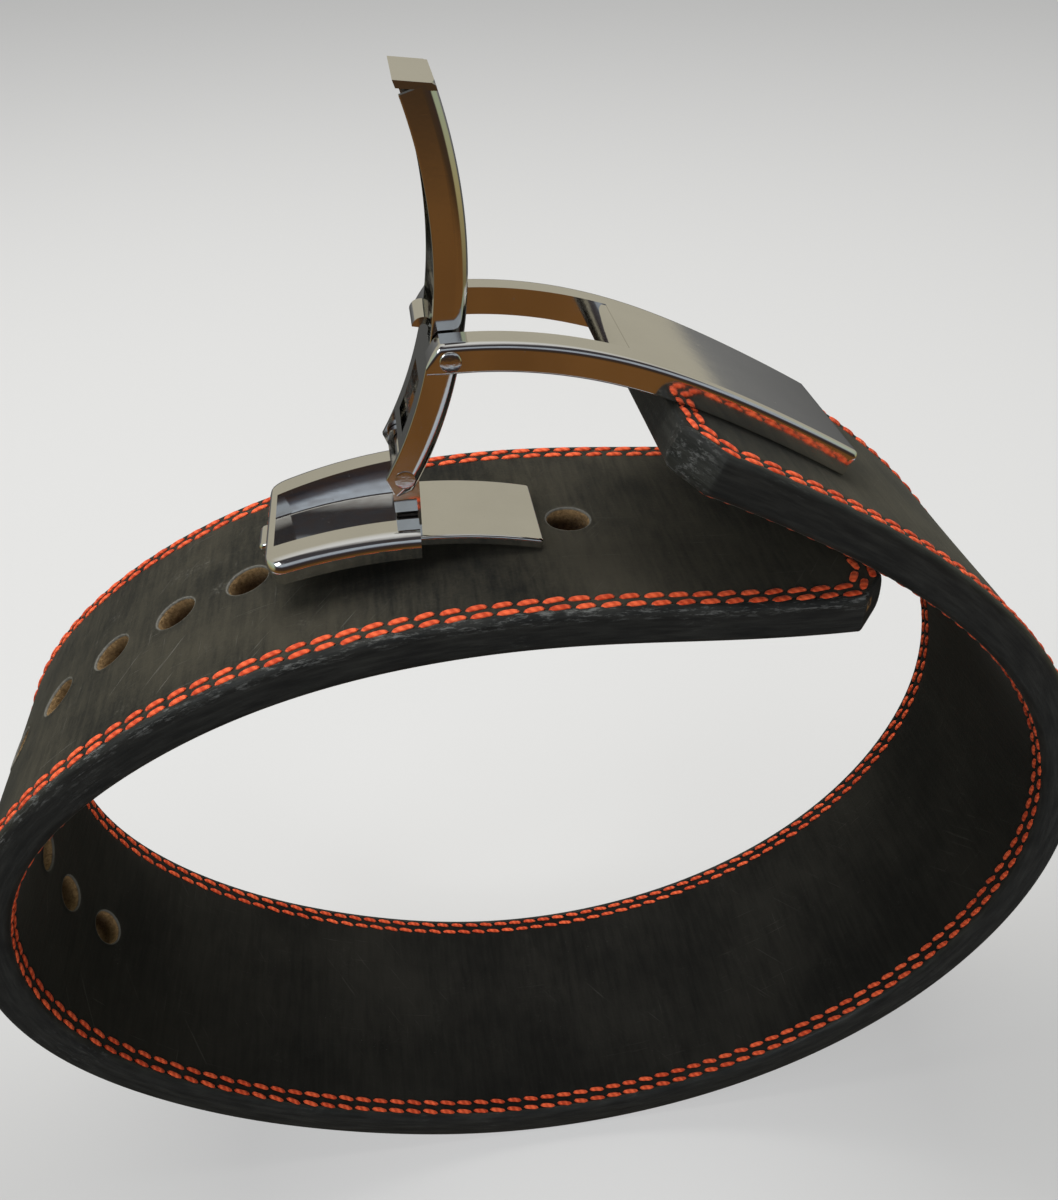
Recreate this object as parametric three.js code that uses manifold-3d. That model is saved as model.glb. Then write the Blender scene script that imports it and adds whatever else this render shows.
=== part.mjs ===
// A weightlifting belt of thick leather, bent into its loop and resting on the outside of its back,
// with a chromed lever buckle standing open above the joined ends.
// Millimetres, +Z up, +Y along the belt's width, origin on the ground below the middle of the loop.

import * as THREE from "three";
import { mergeVertices } from "three/addons/utils/BufferGeometryUtils.js";
import Module from "manifold-3d";

const wasm = await Module();
wasm.setup();

// Leather strap
const strapWidth = 100;
const strapThickness = 13;
const strapLength = 1077;
const strapEdgeRound = 2.5;
const cornerCutAcross = 12;
const cornerCutAlong = 10;
const bottomFlatDepth = 0.8;
const ringSpacing = 8;

// Direction of the strap's middle line at every sixteenth of its length, in degrees, starting at the
// free end and going on past the buckled end
const courseHeadings = [
  182, 176, 186, 203.5, 225.5, 266, 307, 329.5, 344.5,
  363, 382, 404.5, 431.5, 464, 492.5, 508, 517.5, 546,
];
const courseShare = strapLength / 16;
const courseStep = 0.5;

// Row of round holes along the middle of the free half
const holeDiameter = 13.5;
const holeCount = 13;
const holePitch = 25;
const firstHoleFromEnd = 89.5;
const hookedHoleIndex = 1;

// Fits and fasteners
const clearance = 0.3;
const pinDiameter = 4;
const pinHeadDiameter = 6.4;
const pinHeadHeight = 1;
const screwDiameter = 6;
const screwHeadDiameter = 14;
const screwHeadHeight = 2;
const screwDepthInBoss = 5;
const metalStep = 4;

// Buckle base: a tray screwed over the strap's end, with two arms round a window
const baseWidth = 50;
const baseHeight = 8;
const baseSheet = 2;
const baseEdgeRound = 2;
const baseOverStrap = 59.5;
const baseArmReach = 64.5;
const baseArmWidth = 8.5;
const windowFromStrapEnd = 13.5;
const windowLipDrop = 6.4;
const windowLipRun = 4;
const armTipSlope = 4;
const armTipDrop = 5.4;
const basePinFromTip = 6;
const basePinHeight = 3.4;
const screwFromStrapEnd = 20;
const screwPitch = 27;
const bossDiameter = 10;

// Lever: a bent channel between the base's arms, open to the inside of its bend above the base pin
const leverSideGap = 1;
const leverSheet = 2;
const leverBendRadius = 130.8;
const leverOuterDepth = 4.3;
const leverInnerDepth = 4.8;
const leverEdgeRound = 1.5;
const leverReach = 64.4;
const leverToeReach = 5.6;
const leverWebFromHookPin = 7;
const leverLipRise = 3.8;
const slotWidth = 16;
const slotLength = 17;
const slotFromBasePin = 14;
const tabWidth = 14;
const tabCurlRadius = 3.2;

// Hook plate: a trough between two rails, a thin plate beside it and a prong under that plate
const plateBendRadius = 150.3;
const plateLift = 13.2;
const plateFromHole = 14.4;
const plateWidth = 34;
const plateDepth = 3;
const plateSheet = 2;
const plateEdgeRound = 0.9;
const plateLength = 36.6;
const troughBlockLength = 43.7;
const troughBlockWidth = 50;
const railWidth = 10;
const railHeight = 8;
const railEdgeRound = 1.5;
const farRailLow = 5.5;
const farRailHigh = 11;
const troughCorner = 5;
const troughEndWall = 3;
const blockCorner = 5;
const endTabWidth = 12;
const endTabLength = 4;
const endTabHeight = 5;
const hookPinFromPlateEnd = 39.3;
const hookPinHeight = 21.6;
const lugThickness = 2.5;
const lugWidth = 7;
const lugSideGap = 0.5;
const prongDiameter = 7;
const prongLength = 10.3;
const prongTip = 1.5;

// The strap's course

function courseKnot(index) {
  const last = courseHeadings.length - 1;
  if (index < 0) {
    return courseKnot(0) - index * (courseKnot(0) - courseKnot(1));
  }
  if (index > last) {
    return courseKnot(last) + (index - last) * (courseKnot(last) - courseKnot(last - 1));
  }
  return courseHeadings[index];
}

function headingAt(station) {
  const share = station / courseShare;
  const k = Math.max(0, Math.floor(share));
  const t = share - k;
  const [a, b, c, d] = [k - 1, k, k + 1, k + 2].map(courseKnot);
  const bend = 2 * b + (c - a) * t;
  const ease = (2 * a - 5 * b + 4 * c - d) * t * t + (3 * b - a - 3 * c + d) * t * t * t;
  return THREE.MathUtils.degToRad((bend + ease) / 2);
}

function traceCourse(length) {
  const points = [{ x: 0, z: 0, heading: headingAt(0) }];
  for (let station = courseStep; station < length + courseStep; station += courseStep) {
    const last = points[points.length - 1];
    const heading = headingAt(station - courseStep / 2);
    const x = last.x + courseStep * Math.cos(heading);
    const z = last.z + courseStep * Math.sin(heading);
    points.push({ x, z, heading: headingAt(station) });
  }
  return points;
}

const course = traceCourse(strapLength + baseArmReach + holePitch);

function courseAt(station) {
  const share = station / courseStep;
  const k = Math.min(Math.max(Math.floor(share), 0), course.length - 2);
  const t = share - k;
  const [a, b] = [course[k], course[k + 1]];
  return {
    x: THREE.MathUtils.lerp(a.x, b.x, t),
    z: THREE.MathUtils.lerp(a.z, b.z, t),
    heading: THREE.MathUtils.lerp(a.heading, b.heading, t),
  };
}

function offCourse(station, out) {
  const at = courseAt(station);
  return { x: at.x + out * Math.sin(at.heading), z: at.z - out * Math.cos(at.heading) };
}

const outerFace = [];
for (let station = 0; station <= strapLength; station += 1) {
  outerFace.push(offCourse(station, strapThickness / 2));
}
const outerX = outerFace.map((point) => point.x);
const ground = Math.min(...outerFace.map((point) => point.z)) + bottomFlatDepth;
const middle = (Math.min(...outerX) + Math.max(...outerX)) / 2;

// Places in the model: along a curve, across the belt's width, and out from the curve

function onStrap(along, across, out) {
  const point = offCourse(along, out);
  return new THREE.Vector3(point.x - middle, across, point.z - ground);
}

function onArc(centre, radius, startAngle) {
  return (along, across, out) => {
    const angle = startAngle + along / radius;
    const reach = radius + out;
    const x = centre.x + reach * Math.cos(angle);
    const z = centre.z + reach * Math.sin(angle);
    return new THREE.Vector3(x, across, z);
  };
}

// Solids

function closedGeometry(points, triangles) {
  let volume = 0;
  for (const [i, j, k] of triangles) {
    volume += points[i].dot(points[j].clone().cross(points[k]));
  }
  const facing = volume > 0 ? triangles : triangles.map(([i, j, k]) => [i, k, j]);
  const geometry = new THREE.BufferGeometry();
  geometry.setFromPoints(points);
  geometry.setIndex(facing.flat());
  return geometry;
}

function wallBetweenRings(ringCount, size) {
  const triangles = [];
  for (let ring = 0; ring + 1 < ringCount; ring += 1) {
    for (let i = 0; i < size; i += 1) {
      const a = ring * size + i;
      const b = ring * size + ((i + 1) % size);
      triangles.push([a, b, b + size], [a, b + size, a + size]);
    }
  }
  return triangles;
}

// End faces of a body made of rings, wound the same way round as the walls between its rings
function endFaces(outline, lastRing) {
  const flat = outline.map(([across, up]) => new THREE.Vector2(across, up));
  const clockwise = THREE.ShapeUtils.isClockWise(flat);
  const faces = THREE.ShapeUtils.triangulateShape(flat, []).map((face) => {
    const same = THREE.ShapeUtils.isClockWise(face.map((i) => flat[i])) === clockwise;
    return same ? face : [face[0], face[2], face[1]];
  });
  const near = faces.map(([i, j, k]) => [i, k, j]);
  const far = faces.map(([i, j, k]) => [i + lastRing, j + lastRing, k + lastRing]);
  return [...near, ...far];
}

// A body swept along a place function; section(station) lists its [across, out] corners
function sweptBody(place, stations, section) {
  const points = [];
  for (const station of stations) {
    for (const [across, out] of section(station)) {
      points.push(place(station, across, out));
    }
  }
  const outline = section(stations[0]);
  const size = outline.length;
  const walls = wallBetweenRings(stations.length, size);
  return closedGeometry(points, [...walls, ...endFaces(outline, points.length - size)]);
}

// A body whose side outline, a list of [along, out] corners, runs straight across from one y to another
function plankAcross(place, outline, from, to) {
  const size = outline.length;
  const points = [];
  for (const across of [from, to]) {
    for (const [along, out] of outline) {
      points.push(place(along, across, out));
    }
  }
  return closedGeometry(points, [...wallBetweenRings(2, size), ...endFaces(outline, size)]);
}

function rod(from, to, radius, sides, endRadius = radius) {
  const axis = to.clone().sub(from);
  const geometry = new THREE.CylinderGeometry(endRadius, radius, axis.length(), sides);
  const turn = new THREE.Quaternion();
  turn.setFromUnitVectors(new THREE.Vector3(0, 1, 0), axis.clone().normalize());
  geometry.applyQuaternion(turn);
  const centre = from.clone().add(to).multiplyScalar(0.5);
  geometry.translate(centre.x, centre.y, centre.z);
  return geometry;
}

function rodAcross(point, from, to, radius, sides) {
  const start = new THREE.Vector3(point.x, from, point.z);
  const end = new THREE.Vector3(point.x, to, point.z);
  return rod(start, end, radius, sides);
}

function solid(geometry) {
  const bare = geometry.clone();
  bare.deleteAttribute("normal");
  bare.deleteAttribute("uv");
  const merged = mergeVertices(bare, 1e-5);
  const numProp = 3;
  const vertProperties = new Float32Array(merged.attributes.position.array);
  const triVerts = new Uint32Array(merged.index.array);
  return new wasm.Manifold(new wasm.Mesh({ numProp, vertProperties, triVerts }));
}

function joined(...geometries) {
  return geometries.map(solid).reduce((whole, part) => whole.add(part));
}

function without(body, ...geometries) {
  return geometries.map(solid).reduce((whole, part) => whole.subtract(part), body);
}

function namedMesh(name, body, material) {
  const { numProp, vertProperties, triVerts } = body.getMesh();
  const geometry = new THREE.BufferGeometry();
  geometry.setAttribute("position", new THREE.BufferAttribute(vertProperties, numProp));
  geometry.setIndex(new THREE.BufferAttribute(triVerts, 1));
  geometry.computeVertexNormals();
  const mesh = new THREE.Mesh(geometry, new THREE.MeshStandardMaterial(material));
  mesh.name = name;
  return mesh;
}

// Stations from one place to another, no further apart than the given spacing
function stationsBetween(from, to, spacing) {
  const count = Math.ceil((to - from) / spacing);
  return Array.from({ length: count + 1 }, (_, i) => from + ((to - from) * i) / count);
}

// A block's section: lower corners square, upper corners rounded in two steps
function roundTopSection(left, right, low, high, round) {
  const knee = round * (1 - Math.SQRT1_2);
  return [
    [left, low],
    [right, low],
    [right, high - round],
    [right - knee, high - knee],
    [right - round, high],
    [left + round, high],
    [left + knee, high - knee],
    [left, high - round],
  ];
}

function boxSection(left, right, low, high) {
  return [[left, low], [right, low], [right, high], [left, high]];
}

// Strap

function cornerCut(station) {
  const fromEnd = Math.min(station, strapLength - station);
  return cornerCutAcross * Math.max(0, 1 - fromEnd / cornerCutAlong);
}

function strapSection(station) {
  const half = strapWidth / 2 - cornerCut(station);
  const deep = strapThickness / 2;
  const knee = strapEdgeRound * (1 - Math.SQRT1_2);
  const corner = [
    [half, deep - strapEdgeRound],
    [half - knee, deep - knee],
    [half - strapEdgeRound, deep],
  ];
  const back = [...corner].reverse();
  return [
    ...corner,
    ...back.map(([across, out]) => [-across, out]),
    ...corner.map(([across, out]) => [-across, -out]),
    ...back.map(([across, out]) => [across, -out]),
  ];
}

function onFlattenedStrap(along, across, out) {
  const point = onStrap(along, across, out);
  point.z = Math.max(point.z, 0);
  return point;
}

function strapHole(station, diameter, sides) {
  const past = strapThickness;
  return rod(onStrap(station, 0, -past), onStrap(station, 0, past), diameter / 2, sides);
}

const screwStations = [
  strapLength - screwFromStrapEnd - screwPitch,
  strapLength - screwFromStrapEnd,
];
const screwHoleDiameter = screwDiameter + 2 * clearance;

function strapBody() {
  const inner = stationsBetween(cornerCutAlong, strapLength - cornerCutAlong, ringSpacing);
  const body = solid(sweptBody(onFlattenedStrap, [0, ...inner, strapLength], strapSection));
  const holes = [];
  for (let i = 0; i < holeCount; i += 1) {
    holes.push(strapHole(firstHoleFromEnd + i * holePitch, holeDiameter, 24));
  }
  for (const station of screwStations) {
    holes.push(strapHole(station, screwHoleDiameter, 16));
  }
  return without(body, ...holes);
}

// Buckle base

const baseUnder = strapThickness / 2 + clearance;
const baseTop = baseUnder + baseHeight;
const baseStart = strapLength - baseOverStrap;
const armTip = strapLength + baseArmReach;
const windowStart = strapLength + windowFromStrapEnd;
const windowWidth = baseWidth - 2 * baseArmWidth;
const basePinStation = armTip - basePinFromTip;
const basePin = onStrap(basePinStation, 0, baseUnder + basePinHeight);
const pinHoleRadius = pinDiameter / 2 + clearance;

function baseOuter() {
  const level = stationsBetween(baseStart, armTip - armTipSlope, 1.5 * metalStep);
  return sweptBody(onStrap, [...level, armTip], (station) => {
    const slope = Math.max(0, 1 - (armTip - station) / armTipSlope);
    const top = baseTop - armTipDrop * slope;
    const low = baseUnder + 0.1 * armTipDrop * slope;
    const round = Math.min(baseEdgeRound, (top - low) / 3);
    return roundTopSection(-baseWidth / 2, baseWidth / 2, low, top, round);
  });
}

function baseHollow() {
  const half = baseWidth / 2 - baseSheet;
  const stations = stationsBetween(baseStart + baseSheet, windowStart - baseSheet / 2, 1.5 * metalStep);
  const section = boxSection(-half, half, baseUnder - 2 * baseSheet, baseTop - baseSheet);
  return sweptBody(onStrap, stations, () => section);
}

function baseWindow() {
  const stations = stationsBetween(windowStart, armTip + baseArmWidth, 1.5 * metalStep);
  const section = boxSection(-windowWidth / 2, windowWidth / 2, 0, baseTop + baseHeight);
  return sweptBody(onStrap, stations, () => section);
}

// The end of the hollow, where the tray's side walls widen into the solid arms
function windowLip() {
  const start = windowStart - baseSheet;
  const under = baseTop - baseSheet;
  const turned = start + baseSheet + windowLipRun;
  const outline = [
    [start, under],
    [start + baseSheet, under - 0.1 * baseSheet],
    [turned - baseSheet, baseTop - windowLipDrop],
    [turned, baseTop - windowLipDrop],
    [turned - 0.7 * baseSheet, baseTop - 0.6 * baseSheet],
    [start + baseSheet, baseTop],
    [start, baseTop],
  ];
  return plankAcross(onStrap, outline, -windowWidth / 2 - 1, windowWidth / 2 + 1);
}

function armRoots(side) {
  const outline = [
    [windowStart - 2 * baseSheet, baseUnder],
    [windowStart + baseSheet, baseUnder],
    [windowStart + baseSheet, baseTop - baseSheet / 2],
    [windowStart - 2 * baseSheet, baseTop - baseSheet / 2],
  ];
  const inner = side * (windowWidth / 2);
  const outer = side * (baseWidth / 2 - baseSheet / 2);
  return plankAcross(onStrap, outline, inner, outer);
}

function screwBoss(station) {
  const top = baseTop - baseSheet / 2;
  return rod(onStrap(station, 0, baseUnder), onStrap(station, 0, top), bossDiameter / 2, 24);
}

function screwBore(station) {
  const deep = baseUnder + screwDepthInBoss + clearance;
  const mouth = onStrap(station, 0, 0);
  return rod(mouth, onStrap(station, 0, deep), screwHoleDiameter / 2, 16);
}

function baseBody() {
  const tray = without(joined(baseOuter()), baseHollow(), baseWindow());
  const added = joined(
    windowLip(),
    armRoots(-1),
    armRoots(1),
    ...screwStations.map(screwBoss),
  );
  const half = baseWidth / 2;
  const pinHole = rodAcross(basePin, -half - 1, half + 1, pinHoleRadius, 20);
  return without(tray.add(added), pinHole, ...screwStations.map(screwBore));
}

function screwBody(station) {
  const face = -strapThickness / 2 - clearance;
  const shank = rod(
    onStrap(station, 0, face - screwHeadHeight / 2),
    onStrap(station, 0, baseUnder + screwDepthInBoss),
    screwDiameter / 2,
    16,
  );
  const head = rod(
    onStrap(station, 0, face),
    onStrap(station, 0, face - screwHeadHeight),
    screwHeadDiameter / 2,
    28,
    screwHeadDiameter / 2 - screwHeadHeight / 2,
  );
  return joined(shank, head);
}

// Hook plate

const hookedHole = firstHoleFromEnd + hookedHoleIndex * holePitch;

function plateFrame() {
  const seat = onStrap(hookedHole - plateFromHole, 0, strapThickness / 2 + 1.5 * clearance);
  const heading = courseAt(hookedHole - plateFromHole).heading;
  const startAngle = heading - Math.PI / 2 - THREE.MathUtils.degToRad(plateLift);
  const centre = {
    x: seat.x - plateBendRadius * Math.cos(startAngle),
    z: seat.z - plateBendRadius * Math.sin(startAngle),
  };
  return { centre, startAngle };
}

const { centre: plateCentre, startAngle: plateStart } = plateFrame();
const onPlate = onArc(plateCentre, plateBendRadius, plateStart);
const hookPin = onPlate(hookPinFromPlateEnd, 0, hookPinHeight);
const blockEnd = plateLength + troughBlockLength;

function flatPlate() {
  const half = plateWidth / 2;
  const stations = stationsBetween(0, plateLength + 1, metalStep);
  const section = roundTopSection(-half, half, 0, plateDepth, plateEdgeRound);
  return sweptBody(onPlate, stations, () => section);
}

function plateUnderside() {
  const half = plateWidth / 2 - plateSheet;
  const stations = stationsBetween(plateSheet, plateLength - plateSheet, metalStep);
  const section = boxSection(-half, half, -plateDepth, plateDepth - plateSheet);
  return sweptBody(onPlate, stations, () => section);
}

function blockNarrowing(station) {
  const past = Math.max(0, station - (blockEnd - blockCorner)) / blockCorner;
  return blockCorner * (1 - Math.sqrt(Math.max(0, 1 - past * past)));
}

function blockStations() {
  const straight = stationsBetween(plateLength, blockEnd - blockCorner, metalStep);
  const turn = [0.45, 0.75, 0.93, 1].map((share) => blockEnd - blockCorner * (1 - share));
  return [...straight, ...turn];
}

function farRailTop(station) {
  const share = (station - plateLength) / troughBlockLength;
  return THREE.MathUtils.lerp(farRailHigh, farRailLow, THREE.MathUtils.clamp(share, 0, 1));
}

function blockSection(station) {
  const half = troughBlockWidth / 2;
  const edge = half - blockNarrowing(station);
  const inner = half - railWidth;
  const far = farRailTop(station);
  const knee = railEdgeRound * (1 - Math.SQRT1_2);
  return [
    [-edge, 0],
    [edge, 0],
    [edge, far - railEdgeRound],
    [edge - knee, far - knee],
    [edge - railEdgeRound, far],
    [inner, far],
    [-inner, railHeight],
    [-edge + railEdgeRound, railHeight],
    [-edge + knee, railHeight - knee],
    [-edge, railHeight - railEdgeRound],
  ];
}

function troughBlock() {
  return sweptBody(onPlate, blockStations(), blockSection);
}

function trough() {
  const half = troughBlockWidth / 2 - railWidth;
  const floor = plateSheet;
  const high = farRailHigh + railHeight;
  const knee = troughCorner * (1 - Math.SQRT1_2);
  const section = [
    [-half, high],
    [-half, floor + troughCorner],
    [-half + knee, floor + knee],
    [-half + troughCorner, floor],
    [half - troughCorner, floor],
    [half - knee, floor + knee],
    [half, floor + troughCorner],
    [half, high],
  ];
  const stations = stationsBetween(plateLength - 1, blockEnd - troughEndWall, metalStep);
  return sweptBody(onPlate, stations, () => section);
}

function endTab() {
  const half = endTabWidth / 2;
  const section = roundTopSection(-half, half, 0, endTabHeight, railEdgeRound);
  return sweptBody(onPlate, [blockEnd - troughEndWall / 2, blockEnd + endTabLength], () => section);
}

const leverHalfWidth = windowWidth / 2 - leverSideGap;
const channelHalfWidth = leverHalfWidth - leverSheet;
const lugOuter = channelHalfWidth - lugSideGap;

function lug(side) {
  const from = side * (lugOuter - lugThickness);
  const to = side * lugOuter;
  const half = lugWidth / 2;
  const foot = plateSheet / 2;
  const outline = [
    [hookPinFromPlateEnd - half, foot],
    [hookPinFromPlateEnd + half, foot],
    [hookPinFromPlateEnd + half, hookPinHeight],
    [hookPinFromPlateEnd - half, hookPinHeight],
  ];
  const bar = plankAcross(onPlate, outline, from, to);
  return joined(bar, rodAcross(hookPin, from, to, half, 24));
}

// The prong goes down the middle of its hole, square to the plate
function prongStation() {
  const mouth = onStrap(hookedHole, 0, strapThickness / 2 - plateDepth);
  const angle = Math.atan2(mouth.z - plateCentre.z, mouth.x - plateCentre.x);
  return (angle - plateStart) * plateBendRadius;
}

function prong() {
  const station = prongStation();
  const radius = prongDiameter / 2;
  const end = onPlate(station, 0, -prongLength);
  const shoulder = onPlate(station, 0, prongTip - prongLength);
  const shank = rod(onPlate(station, 0, plateDepth - plateSheet / 2), shoulder, radius, 24);
  return joined(shank, rod(shoulder, end, radius, 24, radius - prongTip / 2));
}

function hookBody() {
  const plate = without(joined(flatPlate()), plateUnderside());
  const block = without(joined(troughBlock()), trough()).add(joined(endTab()));
  const half = leverHalfWidth + 1;
  const pinHole = rodAcross(hookPin, -half, half, pinHoleRadius, 20);
  const lugs = lug(-1).add(lug(1));
  return without(plate.add(block).add(prong()).add(lugs), pinHole);
}

// Lever, bent to an arc through both pins; it is measured along the arc from the base pin to its tip

function leverFrame() {
  const span = new THREE.Vector2(hookPin.x - basePin.x, hookPin.z - basePin.z);
  const half = span.length() / 2;
  const rise = Math.sqrt(leverBendRadius * leverBendRadius - half * half);
  const across = new THREE.Vector2(span.y, -span.x).normalize().multiplyScalar(rise);
  const centre = {
    x: basePin.x + span.x / 2 + across.x,
    z: basePin.z + span.y / 2 + across.y,
  };
  const startAngle = Math.atan2(basePin.z - centre.z, basePin.x - centre.x);
  const hookAngle = Math.atan2(hookPin.z - centre.z, hookPin.x - centre.x);
  return { centre, startAngle, hookAt: (hookAngle - startAngle) * leverBendRadius };
}

const { centre: leverCentre, startAngle: leverStart, hookAt } = leverFrame();
const onLever = onArc(leverCentre, leverBendRadius, leverStart);
const webEnd = hookAt + leverWebFromHookPin;

function leverOuter() {
  const toe = hookAt - leverToeReach;
  const shoulder = toe + 0.55 * leverToeReach;
  const stations = [toe, ...stationsBetween(shoulder, leverReach, metalStep)];
  return sweptBody(onLever, stations, (station) => {
    const point = station < shoulder ? 0.8 : 0;
    const low = -leverInnerDepth * (1 - point);
    const high = leverOuterDepth * (1 - point);
    const round = leverEdgeRound * (1 - point);
    return roundTopSection(-leverHalfWidth, leverHalfWidth, low, high, round);
  });
}

function channelCut(from, to, low, high) {
  const section = boxSection(-channelHalfWidth, channelHalfWidth, low, high);
  return sweptBody(onLever, stationsBetween(from, to, metalStep), () => section);
}

function slotCut() {
  const section = boxSection(-slotWidth / 2, slotWidth / 2, -2 * leverInnerDepth, 0);
  const from = -slotFromBasePin - slotLength;
  return sweptBody(onLever, stationsBetween(from, -slotFromBasePin, metalStep), () => section);
}

function leverLip() {
  const low = -leverInnerDepth;
  const rise = leverLipRise;
  const outline = [
    [leverReach - leverSheet, leverOuterDepth],
    [leverReach, leverOuterDepth],
    [leverReach + rise, low],
    [leverReach + rise - leverSheet, low],
  ];
  return plankAcross(onLever, outline, -leverHalfWidth, leverHalfWidth);
}

function curledTab() {
  const inner = tabCurlRadius - leverSheet;
  const out = -leverInnerDepth - inner;
  const along = tabCurlRadius / 2;
  const turn = [0, 30, 60, 90, 120, 150, 180].map(THREE.MathUtils.degToRad);
  const ring = (radius) => (angle) => [
    along + radius * Math.sin(angle),
    out + radius * Math.cos(angle),
  ];
  const root = along - tabCurlRadius;
  const outline = [
    [root, out + tabCurlRadius],
    ...turn.map(ring(tabCurlRadius)),
    ...turn.map(ring(inner)).reverse(),
    [root, out + inner],
  ];
  return plankAcross(onLever, outline, -tabWidth / 2, tabWidth / 2);
}

function leverBody() {
  const shell = joined(leverOuter());
  const past = 2 * leverInnerDepth;
  const hollow = leverOuterDepth - leverSheet;
  const toe = hookAt - 2 * leverToeReach;
  const opened = without(
    shell,
    channelCut(0, leverReach + past, -past, hollow),
    channelCut(toe, 1, leverSheet - leverInnerDepth, hollow),
    channelCut(toe, webEnd, -past, past),
    slotCut(),
  );
  const half = leverHalfWidth + 1;
  const holes = [basePin, hookPin].map((pin) => rodAcross(pin, -half, half, pinHoleRadius, 20));
  return without(opened.add(joined(leverLip(), curledTab())), ...holes);
}

// Pins with low domed heads

function pinBody(point, reach) {
  const radius = pinDiameter / 2;
  const headRadius = pinHeadDiameter / 2;
  const face = reach + clearance;
  const profile = [
    [0, -face - pinHeadHeight],
    [0.6 * headRadius, -face - 0.75 * pinHeadHeight],
    [headRadius, -face - 0.25 * pinHeadHeight],
    [headRadius, -face],
    [radius, -face],
    [radius, face],
    [headRadius, face],
    [headRadius, face + 0.25 * pinHeadHeight],
    [0.6 * headRadius, face + 0.75 * pinHeadHeight],
    [0, face + pinHeadHeight],
  ];
  const outline = profile.map(([x, y]) => new THREE.Vector2(x, y));
  const geometry = new THREE.LatheGeometry(outline, 20);
  geometry.translate(point.x, 0, point.z);
  return joined(geometry);
}

// The whole belt

const leather = { color: 0x2a2622, roughness: 0.8, metalness: 0 };
const chrome = { color: 0xa8a498, roughness: 0.15, metalness: 1 };
const pinSteel = { color: 0xb0aea6, roughness: 0.2, metalness: 1 };
const screwSteel = { color: 0x8c8b88, roughness: 0.35, metalness: 1 };

const belt = new THREE.Group();
belt.add(namedMesh("strap", strapBody(), leather));
belt.add(namedMesh("buckle_base", baseBody(), chrome));
belt.add(namedMesh("base_screw_a", screwBody(screwStations[0]), screwSteel));
belt.add(namedMesh("base_screw_b", screwBody(screwStations[1]), screwSteel));
belt.add(namedMesh("lever_pin", pinBody(basePin, baseWidth / 2), pinSteel));
belt.add(namedMesh("lever", leverBody(), chrome));
belt.add(namedMesh("hook_pin", pinBody(hookPin, leverHalfWidth), pinSteel));
belt.add(namedMesh("hook_plate", hookBody(), chrome));

export default belt;
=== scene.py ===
import bmesh
import bpy
import numpy as np
from mathutils import Matrix


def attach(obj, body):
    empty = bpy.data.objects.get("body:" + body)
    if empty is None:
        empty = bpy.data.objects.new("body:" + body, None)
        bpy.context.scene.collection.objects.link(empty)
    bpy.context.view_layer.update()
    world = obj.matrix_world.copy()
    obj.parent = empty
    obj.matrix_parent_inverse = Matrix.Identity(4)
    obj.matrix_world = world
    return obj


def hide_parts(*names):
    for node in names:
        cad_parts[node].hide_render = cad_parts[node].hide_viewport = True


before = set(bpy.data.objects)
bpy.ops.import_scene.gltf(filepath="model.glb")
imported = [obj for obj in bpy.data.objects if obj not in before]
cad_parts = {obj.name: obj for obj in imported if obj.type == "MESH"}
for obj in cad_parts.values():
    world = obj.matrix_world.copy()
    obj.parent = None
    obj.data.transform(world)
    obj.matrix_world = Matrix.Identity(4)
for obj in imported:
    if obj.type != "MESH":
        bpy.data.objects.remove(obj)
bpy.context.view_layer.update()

# The setting: a plain pale floor under soft panels overhead, in front and at the left, seen from above
# the front edge of the belt with a lens that takes in the whole loop. The floor glows of itself, and
# painted shade darkens it far off and in its front corners. The room is beige behind the belt and
# brown in front, as the metal shows it.

VIEW_PLACE = (-0.0412, -0.2916, 0.44796)
VIEW_RIGHT = (0.98994, -0.14148, 0.0)
VIEW_UP = (0.08243, 0.57675, 0.81276)
VIEW_BACK = (-0.11499, -0.80458, 0.58261)

bpy.context.scene.view_settings.view_transform = "Standard"

lens = bpy.data.cameras.new("view")
lens.sensor_fit = "VERTICAL"
lens.sensor_height = 36.0
lens.lens = 33.0
lens.clip_start = 0.01
view = bpy.data.objects.new("view", lens)
axes = np.column_stack([VIEW_RIGHT, VIEW_UP, VIEW_BACK, VIEW_PLACE])
view.matrix_world = Matrix([*axes.tolist(), [0.0, 0.0, 0.0, 1.0]])
bpy.context.scene.collection.objects.link(view)
bpy.context.scene.camera = view


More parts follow.
